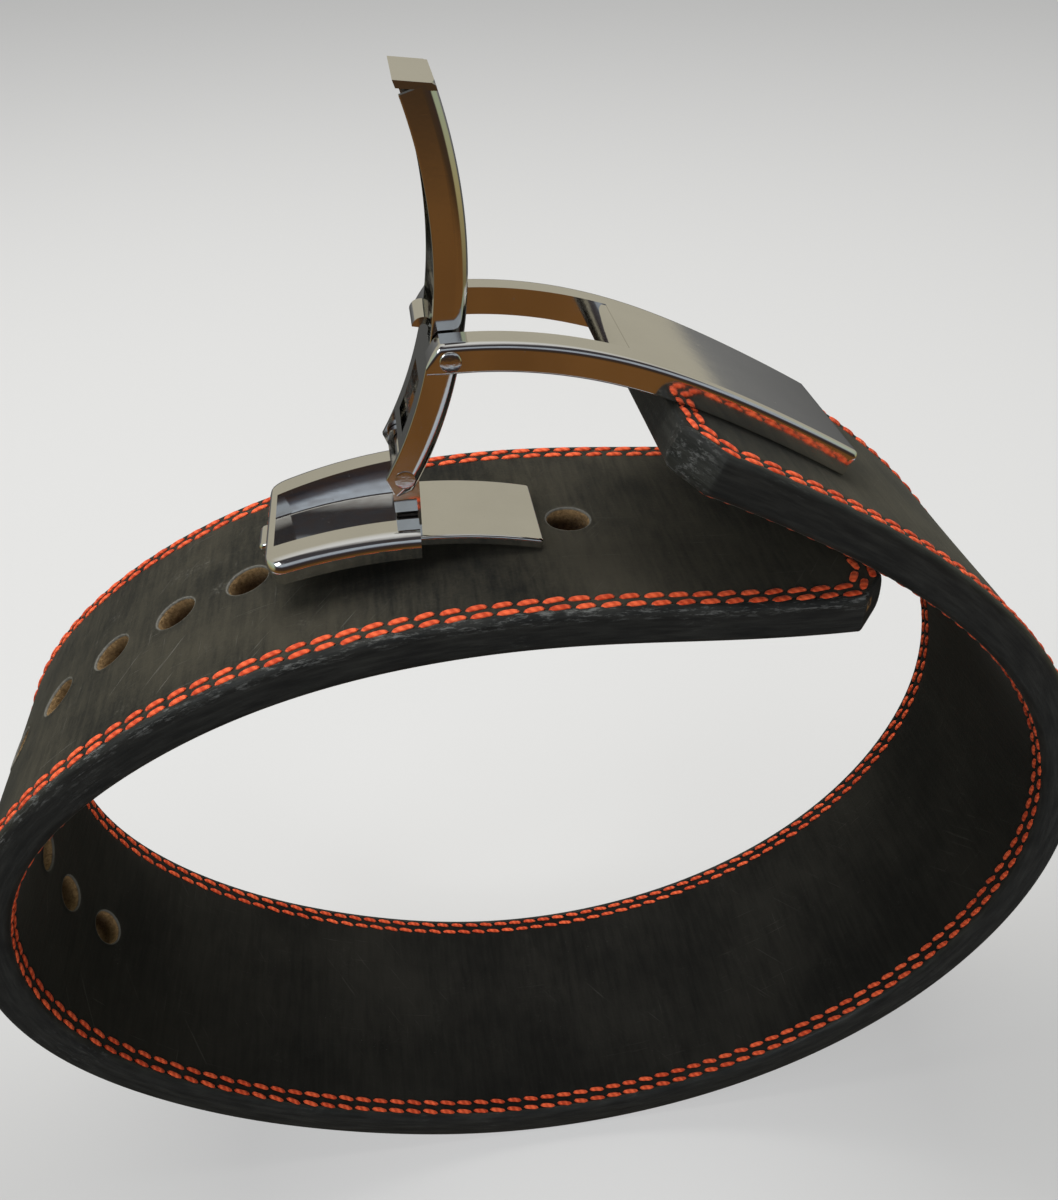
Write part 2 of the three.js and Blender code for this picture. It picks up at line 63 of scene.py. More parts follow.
class Wire:
    """One output in a node tree. The usual operators on it add Math nodes."""

    def __init__(self, tree, socket=None):
        self.tree = tree
        self.socket = socket

    def node(self, kind, inputs=None, settings=None, out=0):
        """Adds a node, sets its settings first and then each input, by value or by link."""
        made = self.tree.nodes.new(kind)
        for name, value in (settings or {}).items():
            if name == "stops":
                ramp = made.color_ramp
                while len(ramp.elements) < len(value):
                    ramp.elements.new(1.0)
                for element, (position, colour) in zip(ramp.elements, value):
                    element.position = position
                    element.color = (*colour, 1.0)
            else:
                setattr(made, name, value)
        for name, value in (inputs or {}).items():
            if isinstance(value, Wire):
                self.tree.links.new(value.socket, made.inputs[name])
            else:
                made.inputs[name].default_value = value
        return Wire(self.tree, made.outputs[out])

    def maths(self, operation, *values):
        """A Math node of this operation over the values."""
        return self.node("ShaderNodeMath", dict(enumerate(values)), {"operation": operation})

    def __add__(self, other):
        return self.maths("ADD", self, other)

    __radd__ = __add__

    def __sub__(self, other):
        return self.maths("SUBTRACT", self, other)

    def __rsub__(self, other):
        return self.maths("SUBTRACT", other, self)

    def __mul__(self, other):
        return self.maths("MULTIPLY", self, other)

    __rmul__ = __mul__

    def step(self, low, high):
        """0 below low, 1 above high, and a smooth rise between them."""
        inputs = {"Value": self, "From Min": low, "From Max": high}
        return self.node("ShaderNodeMapRange", inputs, {"interpolation_type": "SMOOTHSTEP"})

    def blend(self, first, second):
        """The first colour where this wire is 0, the second where it is 1."""
        inputs = {0: self, 6: first, 7: second}
        return self.node("ShaderNodeMix", inputs, {"data_type": "RGBA"}, out=2)

    def parts(self):
        """The three components of this vector."""
        first = self.node("ShaderNodeSeparateXYZ", {0: self})
        return [Wire(self.tree, socket) for socket in first.socket.node.outputs]

    def ramp(self, *stops):
        """Colour at this wire's value between stops, each a position and a colour."""
        return self.node("ShaderNodeValToRGB", {"Fac": self}, {"stops": stops})

    def bump(self, distance, strength):
        """A surface normal tilted by this wire as a height."""
        inputs = {"Height": self, "Distance": distance, "Strength": strength}
        return self.node("ShaderNodeBump", inputs)

    def noise(self, scale, detail=3.0, rough=0.55, stretch=(1.0, 1.0, 1.0)):
        """Noise over this vector, which is first stretched by three factors."""
        scaled = self.node("ShaderNodeMapping", {"Vector": self, "Scale": stretch})
        inputs = {"Vector": scaled, "Scale": scale, "Detail": detail, "Roughness": rough}
        return self.node("ShaderNodeTexNoise", inputs)


def new_finish(name, **constants):
    """A material with one Principled shader, whose sockets named here stay the same all over."""
    material = bpy.data.materials.new(name)
    material.use_nodes = True
    tree = material.node_tree
    shader = tree.nodes["Principled BSDF"]
    for socket, value in constants.items():
        shader.inputs[socket.replace("_", " ")].default_value = value
    return material, Wire(tree), shader


def feed(shader, **wires):
    """Links wires to the shader's sockets of those names."""
    for socket, wire in wires.items():
        wire.tree.links.new(wire.socket, shader.inputs[socket.replace("_", " ")])


def new_piece(name, points, faces, *materials):
    """A mesh object from an array of points and a list of faces."""
    mesh = bpy.data.meshes.new(name)
    mesh.from_pydata(points.reshape(-1, 3).tolist(), [], faces)
    mesh.polygons.foreach_set("use_smooth", np.ones(len(mesh.polygons), bool))
    for material in materials:
        mesh.materials.append(material)
    mesh.update()
    piece = bpy.data.objects.new(name, mesh)
    bpy.context.scene.collection.objects.link(piece)
    return piece


# Painted glow and shade: the floor shines by its own emission, and painted shade darkens its colour and
# glow far off and in its front corners.
floor_finish, wire, shader = new_finish(
    "pale_floor", Roughness=0.9, Specular_IOR_Level=0.0, Emission_Strength=1.0)
spot = wire.node("ShaderNodeTexCoord", out=3)
sideways, ahead, _ = spot.parts()
far_off = spot.node("ShaderNodeVectorMath", {0: spot}, {"operation": "LENGTH"}, out=1)
corner = (1 - ahead.step(-0.10, 0.22)) * sideways.maths("ABSOLUTE", sideways).step(0.02, 0.30)
painted_floor_shade = far_off.step(0.3, 5.5) + corner * 1.2
feed(shader, Base_Color=painted_floor_shade.blend((0.25, 0.25, 0.25, 1), (0.20, 0.20, 0.20, 1)))
feed(shader, Emission_Color=painted_floor_shade.blend((0.465, 0.465, 0.465, 1), (0.35, 0.35, 0.35, 1)))
floor_corners = np.array([
    [-9.0, -9.0, -0.0002], [9.0, -9.0, -0.0002], [9.0, 14.0, -0.0002], [-9.0, 14.0, -0.0002]])
floor = new_piece("floor", floor_corners, [(0, 1, 2, 3)], floor_finish)
floor.visible_diffuse = False
floor.visible_glossy = False
floor.visible_shadow = False


BELT_MIDDLE = (0.0, 0.0, 0.2)


def soft_panel(name, place, size, power, colour, glossy):
    """An area light of a width and height, turned from its place towards the belt's middle. Metal
    mirrors it where glossy is true."""
    lamp = bpy.data.lights.new(name, "AREA")
    lamp.shape = "RECTANGLE"
    lamp.size, lamp.size_y = size
    lamp.energy = power
    lamp.color = colour
    away = np.subtract(place, BELT_MIDDLE)
    away = away / np.linalg.norm(away)
    side = np.cross((0.0, 1.0, 0.001), away)
    side = side / np.linalg.norm(side)
    turned = np.column_stack([side, np.cross(away, side), away, place])
    panel = bpy.data.objects.new(name, lamp)
    panel.matrix_world = Matrix([*turned.tolist(), [0.0, 0.0, 0.0, 1.0]])
    panel.visible_camera = False
    panel.visible_glossy = glossy
    bpy.context.scene.collection.objects.link(panel)


soft_panel("overhead_panel", (-0.35, 0.45, 1.9), (1.6, 1.4), 34.0, (1.0, 0.99, 0.95), False)
soft_panel("left_panel", (-1.5, -0.9, 1.5), (0.7, 0.7), 8.0, (0.93, 0.97, 1.0), True)
soft_panel("front_panel", (0.1, -2.4, 0.8), (1.4, 0.9), 22.0, (0.97, 0.99, 1.0), False)

world = bpy.data.worlds.new("studio")
world.use_nodes = True
bpy.context.scene.world = world
air = Wire(world.node_tree)
toward = air.node("ShaderNodeTexCoord")
aside, ahead, height = toward.parts()
level = height * 0.5 + 0.5
behind = (level + toward.noise(5.0) * 0.02 - 0.01).ramp(
    (0.0, (0.04, 0.04, 0.04)),
    (0.40, (0.09, 0.09, 0.086)),
    (0.45, (0.14, 0.14, 0.139)),
    (0.515, (0.20, 0.20, 0.198)),
    (0.527, (0.45, 0.42, 0.335)),
    (0.80, (0.48, 0.45, 0.36)),
    (1.0, (0.80, 0.80, 0.80)),
)
planks = toward.noise(9.0, 3.0, 0.6, (5.0, 1.0, 1.0))
in_front = (level + planks * 0.012 - 0.006).ramp(
    (0.0, (0.05, 0.028, 0.010)),
    (0.165, (0.030, 0.032, 0.038)),
    (0.185, (0.38, 0.43, 0.50)),
    (0.236, (0.55, 0.59, 0.63)),
    (0.250, (0.190, 0.084, 0.023)),
    (0.355, (0.175, 0.079, 0.023)),
    (0.405, (0.055, 0.033, 0.017)),
    (0.58, (0.022, 0.024, 0.032)),
    (0.64, (0.10, 0.11, 0.135)),
    (0.68, (0.46, 0.52, 0.60)),
    (0.80, (0.50, 0.56, 0.63)),
    (0.83, (0.05, 0.055, 0.068)),
    (0.95, (0.05, 0.055, 0.065)),
    (1.0, (0.80, 0.80, 0.80)),
)
beside = level.ramp(
    (0.25, (0.10, 0.075, 0.035)),
    (0.42, (0.36, 0.30, 0.14)),
    (0.55, (0.36, 0.42, 0.29)),
    (1.0, (0.62, 0.66, 0.60)),
)
grained = (planks.step(0.35, 0.65) * 0.45).blend(in_front, (0.07, 0.032, 0.012, 1))
in_front = level.step(0.24, 0.26).blend(in_front, grained)
round_about = ahead.step(-0.12, 0.12).blend(in_front, behind)
round_about = aside.maths("ABSOLUTE", aside).step(0.80, 0.92).blend(round_about, beside)
seen_directly = air.node("ShaderNodeLightPath")
backdrop = seen_directly.blend(round_about, (0.56, 0.56, 0.56, 1))
world.node_tree.links.new(backdrop.socket, world.node_tree.nodes["Background"].inputs["Color"])


# The strap: one thick band of black napped leather, cut to length with its corners taken off, punched
# with a row of round holes and bent into the loop. Its edges are rubbed smooth and painted black, and
# two sewn rows pull shallow grooves into both faces all the way round.

MM = 0.001
STRAP_WIDTH = 100.0
STRAP_THICKNESS = 13.0
STRAP_LENGTH = 1077.0
EDGE_ROUND = 2.4
CORNER_ACROSS = 12.0
CORNER_ALONG = 10.0
FLAT_DEPTH = 0.8
HOLE_PITCH = 25.0
HOLE_STATIONS = 89.5 + HOLE_PITCH * np.arange(13)
HOLE_ROWS = 15
HOLE_CELLS = 12
EDGE_POINTS = 13
ROW_DISTANCES = (3.3, 7.1)
GROOVE_DEPTH = 0.45
GROOVE_WIDTH = 0.6
HEADINGS = np.array([
    182, 176, 186, 203.5, 225.5, 266, 307, 329.5, 344.5,
    363, 382, 404.5, 431.5, 464, 492.5, 508, 517.5, 546,
])


def heading_at(station):
    """Direction of the strap in radians: a Catmull-Rom curve through sixteenths of its length."""
    share = station / (STRAP_LENGTH / 16)
    before = 2 * HEADINGS[0] - HEADINGS[1]
    after = HEADINGS[-1] + np.array([1, 2]) * (HEADINGS[-1] - HEADINGS[-2])
    knots = np.concatenate([[before], HEADINGS, after])
    k = np.clip(np.floor(share).astype(int), 0, len(HEADINGS) - 1)
    t = share - k
    a, b, c, d = knots[k], knots[k + 1], knots[k + 2], knots[k + 3]
    bend = 2 * b + (c - a) * t + (2 * a - 5 * b + 4 * c - d) * t**2
    return np.radians((bend + (3 * b - a - 3 * c + d) * t**3) / 2)


TRACE_STEP = 0.5
PAST_LEATHER = 90
trace_at = np.arange(0, STRAP_LENGTH + PAST_LEATHER, TRACE_STEP)
trace_heading = heading_at(trace_at)
steps = heading_at(trace_at[:-1] + TRACE_STEP / 2)
trace_x = np.concatenate([[0], np.cumsum(np.cos(steps))]) * TRACE_STEP
trace_z = np.concatenate([[0], np.cumsum(np.sin(steps))]) * TRACE_STEP
on_leather = trace_at <= STRAP_LENGTH
outer_x = (trace_x + STRAP_THICKNESS / 2 * np.sin(trace_heading))[on_leather]
outer_z = (trace_z - STRAP_THICKNESS / 2 * np.cos(trace_heading))[on_leather]
trace_x = trace_x - (outer_x.min() + outer_x.max()) / 2
trace_z = trace_z - outer_z.min() - FLAT_DEPTH


def on_strap(along, across, out):
    """Place at a station along the strap's middle line, across its width and out from it."""
    along, across, out = np.broadcast_arrays(along, across, out)
    heading = np.interp(along, trace_at, trace_heading)
    x = np.interp(along, trace_at, trace_x) + out * np.sin(heading)
    z = np.interp(along, trace_at, trace_z) - out * np.cos(heading)
    return np.stack([x, across, z], axis=-1) * MM


def edge_distance(along, across):
    """How far a place on a face lies inside the strap's outline, cut corners included."""
    from_end = np.minimum(along, STRAP_LENGTH - along)
    slant = np.hypot(CORNER_ALONG, CORNER_ACROSS)
    inside = CORNER_ACROSS * from_end - CORNER_ALONG * (np.abs(across) - STRAP_WIDTH / 2 + CORNER_ACROSS)
    return np.minimum(np.minimum(STRAP_WIDTH / 2 - np.abs(across), from_end), inside / slant)


def face_height(along, across):
    """Height of a face over the middle line: flat, but for a groove under each sewn row."""
    inside = edge_distance(along, across)
    groove = sum(np.exp(-((inside - row) / GROOVE_WIDTH) ** 2) for row in ROW_DISTANCES)
    swell = 0.16 * np.sin(along / 31.0) * np.sin(across / 17.0 + 1.0)
    return STRAP_THICKNESS / 2 - GROOVE_DEPTH * groove - 0.12 + swell * np.clip(inside / 20 - 0.4, 0, 1)


def strap_stations():
    """Stations: close together at both ends, even along the holes, wider between."""
    fine = np.concatenate([EDGE_ROUND * (1 - np.sin(np.radians([90, 60, 30]))), [EDGE_ROUND]])
    first, last = HOLE_STATIONS[0] - HOLE_PITCH / 2, HOLE_STATIONS[-1] + HOLE_PITCH / 2
    ending = np.concatenate([fine, np.arange(EDGE_ROUND + 0.6, 13.0, 0.6)])
    return np.concatenate([
        ending,
        np.linspace(14.5, first, 26)[:-1],
        np.linspace(first, last, HOLE_ROWS * len(HOLE_STATIONS) + 1),
        np.linspace(last, STRAP_LENGTH - 14.5, 264)[1:],
        (STRAP_LENGTH - ending)[::-1],
    ])


def strap_lines():
    """Distances across a face: even between the holes' sides, close together at the sewn rows."""
    middle = np.arange(HOLE_CELLS // 2 + 1) * (10.0 / 6)
    side = np.array([13, 17, 22, 27, 32, 36, 39.5, 41.3, 42.0, 42.6, 43.2, 43.9, 45.0, 46.0, 46.5,
                     46.9, 47.3])
    half = np.concatenate([middle[1:], side])
    return np.concatenate([-half[::-1], [0], half])


def strap_grid():
    """Rings of points round the strap: outer face, far edge, inner face and near edge. Towards each
    end the outer lines move in with the cut corners, and the thickness closes in a quarter round."""
    stations = strap_stations()
    lines = strap_lines()
    quarter = np.radians([0, 22.5, 45, 67.5, 90])
    flank = STRAP_THICKNESS / 2 - EDGE_ROUND
    arc_in = -EDGE_ROUND * (1 - np.sin(quarter))
    arc_up = flank + EDGE_ROUND * np.cos(quarter)
    edge_in = np.concatenate([arc_in, [0.05, 0.1, 0.05], arc_in[::-1]])
    edge_up = np.concatenate([arc_up, [flank / 2, 0, -flank / 2], -arc_up[::-1]])
    half = STRAP_WIDTH / 2
    ring_across = np.concatenate([lines, half + edge_in, lines[::-1], -half - edge_in[::-1]])
    ring_up = np.concatenate([lines * 0 + 1, edge_up, lines * 0 - 1, edge_up[::-1]])
    from_end = np.minimum(stations, STRAP_LENGTH - stations)[:, None]
    narrow = CORNER_ACROSS * np.clip(1 - from_end / CORNER_ALONG, 0, 1)
    outer_share = np.clip((np.abs(ring_across) - 20) / (half - 20), 0, 1.01)
    across = ring_across - np.sign(ring_across) * outer_share * narrow
    beyond = np.clip(EDGE_ROUND - from_end, 0, None)
    close = EDGE_ROUND - np.sqrt(np.clip(EDGE_ROUND**2 - beyond**2, 0, None))
    on_face = np.concatenate([lines * 0 + 1, edge_up * 0, lines * 0 + 1, edge_up * 0]) > 0
    along = np.broadcast_to(stations[:, None], across.shape)
    height = np.where(on_face, ring_up * face_height(along, across), ring_up)
    height = height - np.sign(height) * np.minimum(close, np.abs(height))
    place = np.stack([along, across, height], axis=-1)
    paint = np.where(on_face, 0.0, 1.0) * np.ones_like(across)
    paint = np.maximum(paint, np.clip(1.4 - 0.9 * edge_distance(along, across), 0, 1))
    return place, paint, len(lines)


def hole_rings():
    """Radius and depth below the face of the rings inside one hole: a low raised rim, then the wall."""
    rim = [(9.0, 0.0), (8.1, -0.10), (7.55, -0.32), (7.1, -0.30), (6.8, 0.0)]
    wall = [(6.62 + 0.02 * k, depth) for k, depth in enumerate([0.9, 2.0, 3.2, 4.4, 5.4])]
    return np.array(rim + wall)


def ring_walls(index):
    """Quads between neighbouring rings of point numbers, each ring closed on itself."""
    beside = np.roll(index, -1, axis=1)
    return np.stack([index[:-1], index[1:], beside[1:], beside[:-1]], axis=-1)


def build_strap():
    """Joins the ring grid with a round fan in place of each hole's square of cells, and closes the
    two ends. Returns points, faces and the attributes of each point."""
    place, paint, line_count = strap_grid()
    rows, size = paint.shape
    index = np.arange(rows * size).reshape(rows, size)
    quads = ring_walls(index)
    keep = np.ones(quads.shape[:2], bool)
    first_row = int(np.argmin(np.abs(place[:, 0, 0] - (HOLE_STATIONS[0] - 10.0))))
    outer_first = line_count // 2 - HOLE_CELLS // 2
    inner_first = outer_first + line_count + EDGE_POINTS
    points = [place.reshape(-1, 3)]
    attributes = [np.stack([paint.ravel(), np.zeros(paint.size)], axis=-1)]
    faces = []
    used = place.reshape(-1, 3).shape[0]
    rings = hole_rings()
    cells = np.arange(HOLE_CELLS)
    for number, station in enumerate(HOLE_STATIONS):
        row = first_row + HOLE_ROWS * number
        last_row = row + HOLE_CELLS
        keep[row:last_row, outer_first:outer_first + HOLE_CELLS] = False
        keep[row:last_row, inner_first:inner_first + HOLE_CELLS] = False
        walls = []
        for first, sign in ((outer_first, 1), (inner_first, -1)):
            border = np.concatenate([
                index[row + cells, first],
                index[last_row, first + cells],
                index[last_row - cells, first + HOLE_CELLS],
                index[row, first + HOLE_CELLS - cells],
            ])
            corner = place.reshape(-1, 3)[border]
            offset = corner[:, :2] - (station, 0.0)
            unit = offset / np.linalg.norm(offset, axis=1, keepdims=True)
            angle = np.arctan2(unit[:, 1], unit[:, 0])
            radius = rings[:, 0][:, None] * np.ones(len(border))
            fray = 0.16 * np.sin(7 * angle + 3 * number) + 0.12 * np.sin(17 * angle + number)
            worn = np.arange(len(rings))[:, None] > 4
            radius = radius + worn * fray * np.sin(np.arange(len(rings)) * 1.7 + number)[:, None]
            level = np.abs(corner[:, 2])[None] - rings[:, 1][:, None]
            ring = np.stack([
                station + radius * unit[:, 0],
                radius * unit[:, 1],
                sign * level,
            ], axis=-1)
            bore = np.clip((np.arange(len(rings)) - 2) / 3, 0, 1)[:, None] * np.ones(len(border))
            ids = used + np.arange(ring.shape[0] * ring.shape[1]).reshape(ring.shape[:2])
            used += ids.size
            points.append(ring.reshape(-1, 3))
            attributes.append(np.stack([bore.ravel() * 0, bore.ravel()], axis=-1))
            fan = ring_walls(np.concatenate([border[None], ids]))[..., [0, 3, 2, 1]]
            faces.append(fan.reshape(-1, 4))
            walls.append((ids[-1], angle))
        (outer_ids, outer_angle), (inner_ids, inner_angle) = walls
        match = np.argmin(np.abs(np.exp(1j * outer_angle)[:, None] - np.exp(1j * inner_angle)), axis=1)
        inner_ids = inner_ids[match]
        faces.append(np.stack([
            outer_ids, np.roll(outer_ids, -1), np.roll(inner_ids, -1), inner_ids,
        ], axis=-1))
    faces.insert(0, quads[keep])
    ends = []
    for ring, flip in ((index[0], False), (index[-1], True)):
        outer = ring[:line_count]
        inner = ring[line_count + EDGE_POINTS:2 * line_count + EDGE_POINTS][::-1]
        strip = np.stack([outer[:-1], outer[1:], inner[1:], inner[:-1]], axis=-1)
        polygons = [list(quad) for quad in strip]
        polygons.append([outer[-1], *ring[line_count:line_count + EDGE_POINTS], inner[-1]])
        polygons.append([inner[0], *ring[2 * line_count + EDGE_POINTS:], outer[0]])
        ends += [polygon[::-1] if flip else polygon for polygon in polygons]
    all_faces = [tuple(face) for face in np.concatenate(faces).tolist()]
    all_faces += [tuple(int(i) for i in face) for face in ends]
    return np.concatenate(points), all_faces, np.concatenate(attributes)


def outward(piece):
    """Merges doubles, turns all faces of a closed piece outwards and returns the piece."""
    work = bmesh.new()
    work.from_mesh(piece.data)
    bmesh.ops.remove_doubles(work, verts=work.verts, dist=1e-7)
    bmesh.ops.recalc_face_normals(work, faces=work.faces)
    work.to_mesh(piece.data)
    work.free()
    piece.data.update()
    return piece


leather_finish, wire, shader = new_finish(
    "black_napped_leather", Specular_IOR_Level=0.22, Sheen_Weight=0.07, Sheen_Roughness=0.4,
    Sheen_Tint=(0.80, 0.78, 0.66, 1))
skin = wire.node("ShaderNodeAttribute", settings={"attribute_name": "place"}, out=1)
paint = wire.node("ShaderNodeAttribute", settings={"attribute_name": "paint"}, out=2)
bore = wire.node("ShaderNodeAttribute", settings={"attribute_name": "bore"}, out=2)
along, across, out = skin.parts()
nap = skin.noise(900, 5.0, 0.65)
cloud = skin.noise(16, 4.0, 0.6)
brushed = skin.noise(60, 4.0, 0.6, (9.0, 1.0, 1.0))
pores = skin.noise(2600, 2.0, 0.5)
tone = (cloud * 0.8 + brushed * 0.35 + nap * 0.3).step(0.50, 0.95)
outside = tone.blend((0.0052, 0.0060, 0.0062, 1), (0.043, 0.039, 0.029, 1))
# Painted shade: the inner face takes a darker copy of the outer face's colour, for the shade inside the
# loop.
inside = tone.blend((0.0024, 0.0027, 0.0026, 1), (0.0145, 0.0140, 0.0120, 1))
face_tone_and_inner_shade = out.step(-0.002, 0.002).blend(inside, outside)
along_scratch = skin.noise(34, 3.0, 0.6, (1.0, 40.0, 40.0)).step(0.66, 0.74)
slant = skin.node("ShaderNodeMapping", {"Vector": skin, "Rotation": (0.0, 0.0, 0.95)})
slant_scratch = slant.noise(30, 3.0, 0.6, (1.0, 34.0, 1.0)).step(0.65, 0.73)
cross_scratch = skin.noise(30, 3.0, 0.6, (38.0, 1.0, 1.0)).step(0.67, 0.76)
holed_part = along.step(0.12, 0.19) * (1 - along.step(0.34, 0.42)) * out.step(0.0, 0.004)
scratched = (along_scratch + slant_scratch + cross_scratch) * cloud.step(0.44, 0.62)
scratched = scratched * (0.35 + holed_part * 1.3)
chalk = skin.noise(60, 4.0, 0.7).step(0.56, 0.70) * skin.noise(800, 4.0, 0.75).step(0.45, 0.68)
dust = skin.noise(1500, 1.0, 0.5).step(0.74, 0.80) * skin.noise(40, 2.0).step(0.52, 0.66)
marks = scratched * 0.32 + dust * 0.22 + chalk * (0.05 + holed_part * 0.28)
marked = marks.maths("MINIMUM", marks, 0.6).blend(face_tone_and_inner_shade, (0.17, 0.165, 0.15, 1))
end_corner = along.step(1.0655, 1.0735) * (1 - across.step(-0.040, -0.030))
near_rub = (1 - across.step(-0.046, -0.044)) * (1 - along.step(0.28, 0.38)) * out.step(0.0022, 0.0050)
rub_patch = skin.noise(22, 3.0, 0.6).step(0.54, 0.66) * 0.35 + end_corner + near_rub * 1.3
rubbed = skin.noise(380, 5.0, 0.75, (0.4, 1.0, 2.0)).step(0.50, 0.68) * rub_patch * paint.step(0.10, 0.5)
rubbed = rubbed.maths("MINIMUM", rubbed, 1.0)
edge_tone = skin.noise(60, 5.0, 0.6, (1.0, 1.0, 9.0)).step(0.30, 0.80)
edge_colour = edge_tone.blend((0.0110, 0.0118, 0.0115, 1), (0.0300, 0.0310, 0.0285, 1))
painted = paint.step(0.25, 0.75).blend(marked, edge_colour)
painted = (rubbed * 0.55).blend(painted, (0.20, 0.205, 0.20, 1))
nick = along.step(-0.001, 0.0005) * (1 - along.step(0.008, 0.0095)) * (1 - across.step(-0.0465, -0.0455))
nick = nick * out.step(0.0005, 0.0015) * (1 - out.step(0.0035, 0.0045))
painted = (nick * skin.noise(500).step(0.42, 0.55)).blend(painted, (0.38, 0.20, 0.07, 1))
# Hole walls: tan leather fibres, with painted shade that darkens them towards the middle of the thickness,
# deep in each hole.
fibre = skin.noise(900, 5.0, 0.75).step(0.25, 0.75)
depth = out.maths("ABSOLUTE", out).step(0.0, 0.0062)
hole_wall_and_shade = (fibre * 0.55 * (0.3 + depth) + depth * 0.35).blend((0.045, 0.022, 0.008, 1), (0.42, 0.27, 0.125, 1))
walls = bore.step(0.70, 0.95)
rim = bore.step(0.05, 0.45) * (1 - walls)
rimmed = (rim * (0.35 + nap * 0.5)).blend(painted, (0.21, 0.205, 0.185, 1))
feed(shader, Base_Color=walls.blend(rimmed, hole_wall_and_shade))
matt = 0.66 + nap * 0.22 + bore * 0.2
feed(shader, Roughness=matt - paint.step(0.3, 0.8) * (0.32 - rubbed * 0.25))
relief = nap * 0.5 + pores * 0.25 + brushed * 0.8 + bore * fibre * 2.0 - scratched * 0.5
surface = relief * (1 - paint.step(0.3, 0.8) * 0.75) + edge_tone * paint * 0.6 + rubbed * 0.8
feed(shader, Normal=surface.bump(0.00022, 0.75))

strap_points, strap_faces, strap_marks = build_strap()
lying = on_strap(strap_points[:, 0], strap_points[:, 1], strap_points[:, 2])
lying[:, 2] = np.maximum(lying[:, 2], 0.0)
strap = new_piece("leather_strap", lying, strap_faces, leather_finish)
strap_mesh = strap.data
places = strap_mesh.attributes.new("place", "FLOAT_VECTOR", "POINT")
places.data.foreach_set("vector", (strap_points * MM).ravel())
for column, name in enumerate(("paint", "bore")):
    mark = strap_mesh.attributes.new(name, "FLOAT", "POINT")
    mark.data.foreach_set("value", np.ascontiguousarray(strap_marks[:, column]))
outward(strap)
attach(strap, "belt")
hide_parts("strap")


# The sewing: two rows of thick waxed orange-red thread on both faces, following the outline at an even
# distance and turning the cut corners. Each stitch lies as a short plump strand over its groove, a
# little askew, and the two rows are set half a stitch apart.

STITCH_LENGTH = 6.5
STITCH_WIDTH = 1.8
STITCH_HEIGHT = 1.05
OUTER_PLUMPNESS = 1.3
STITCH_PITCH = 7.2
STITCH_RISE = 0.42
OUTER_SEED, INNER_SEED = 4, 9


def row_corners(inset):
    """Corners of the strap's outline moved inwards: each side is shifted and cut with the next."""
    half = STRAP_WIDTH / 2
    low = half - CORNER_ACROSS
    outline = np.array([
        [0, -low], [0, low], [CORNER_ALONG, half], [STRAP_LENGTH - CORNER_ALONG, half],
        [STRAP_LENGTH, low], [STRAP_LENGTH, -low], [STRAP_LENGTH - CORNER_ALONG, -half],
        [CORNER_ALONG, -half],
    ])
    side = np.roll(outline, -1, axis=0) - outline
    side = side / np.linalg.norm(side, axis=1, keepdims=True)
    normal = np.stack([side[:, 1], -side[:, 0]], axis=1)
    start = outline + inset * normal
    before = np.roll(side, 1, axis=0)
    gap = start - np.roll(start, 1, axis=0)
    turn = before[:, 0] * side[:, 1] - before[:, 1] * side[:, 0]
    run = (gap[:, 0] * side[:, 1] - gap[:, 1] * side[:, 0]) / turn
    return np.roll(start, 1, axis=0) + run[:, None] * before


def stitch_places(inset, shift):
    """Middle and direction of each stitch of one closed row, at even steps round its outline."""
    corners = row_corners(inset)
    loop = np.concatenate([corners, corners[:1]])
    lengths = np.linalg.norm(np.diff(loop, axis=0), axis=1)
    total = lengths.sum()
    count = int(round(total / STITCH_PITCH))
    run = (np.arange(count) + shift) * total / count
    reach = np.concatenate([[0], np.cumsum(lengths)])

    def at(distance):
        distance = distance % total
        return np.stack([np.interp(distance, reach, loop[:, k]) for k in (0, 1)], axis=1)

    middle = at(run)
    direction = at(run + 1.5) - at(run - 1.5)
    return middle, direction / np.linalg.norm(direction, axis=1, keepdims=True)


def strand(rings=10, sides=8):
    """One stitch about its middle: a round strand whose radius closes at both ends as a fourth root
    and whose middle line bows up from the leather. Returns points with the share along and round."""
    share = np.linspace(-1, 1, rings)[:, None]
    turn = np.linspace(0, 2 * np.pi, sides, endpoint=False)[None]
    swell = np.clip(1 - np.abs(share) ** 3.2, 0, 1) ** 0.5
    x = share * STITCH_LENGTH / 2 + 0 * turn
    y = swell * STITCH_WIDTH / 2 * np.cos(turn)
    z = 0.3 * (1 - share**2) - 0.15 + swell * STITCH_HEIGHT / 2 * np.sin(turn)
    points = np.stack([x, y, z], axis=-1)
    marks = np.stack([share / 2 + 0.5 + 0 * turn, turn / (2 * np.pi) + 0 * share], axis=-1)
    return points, marks


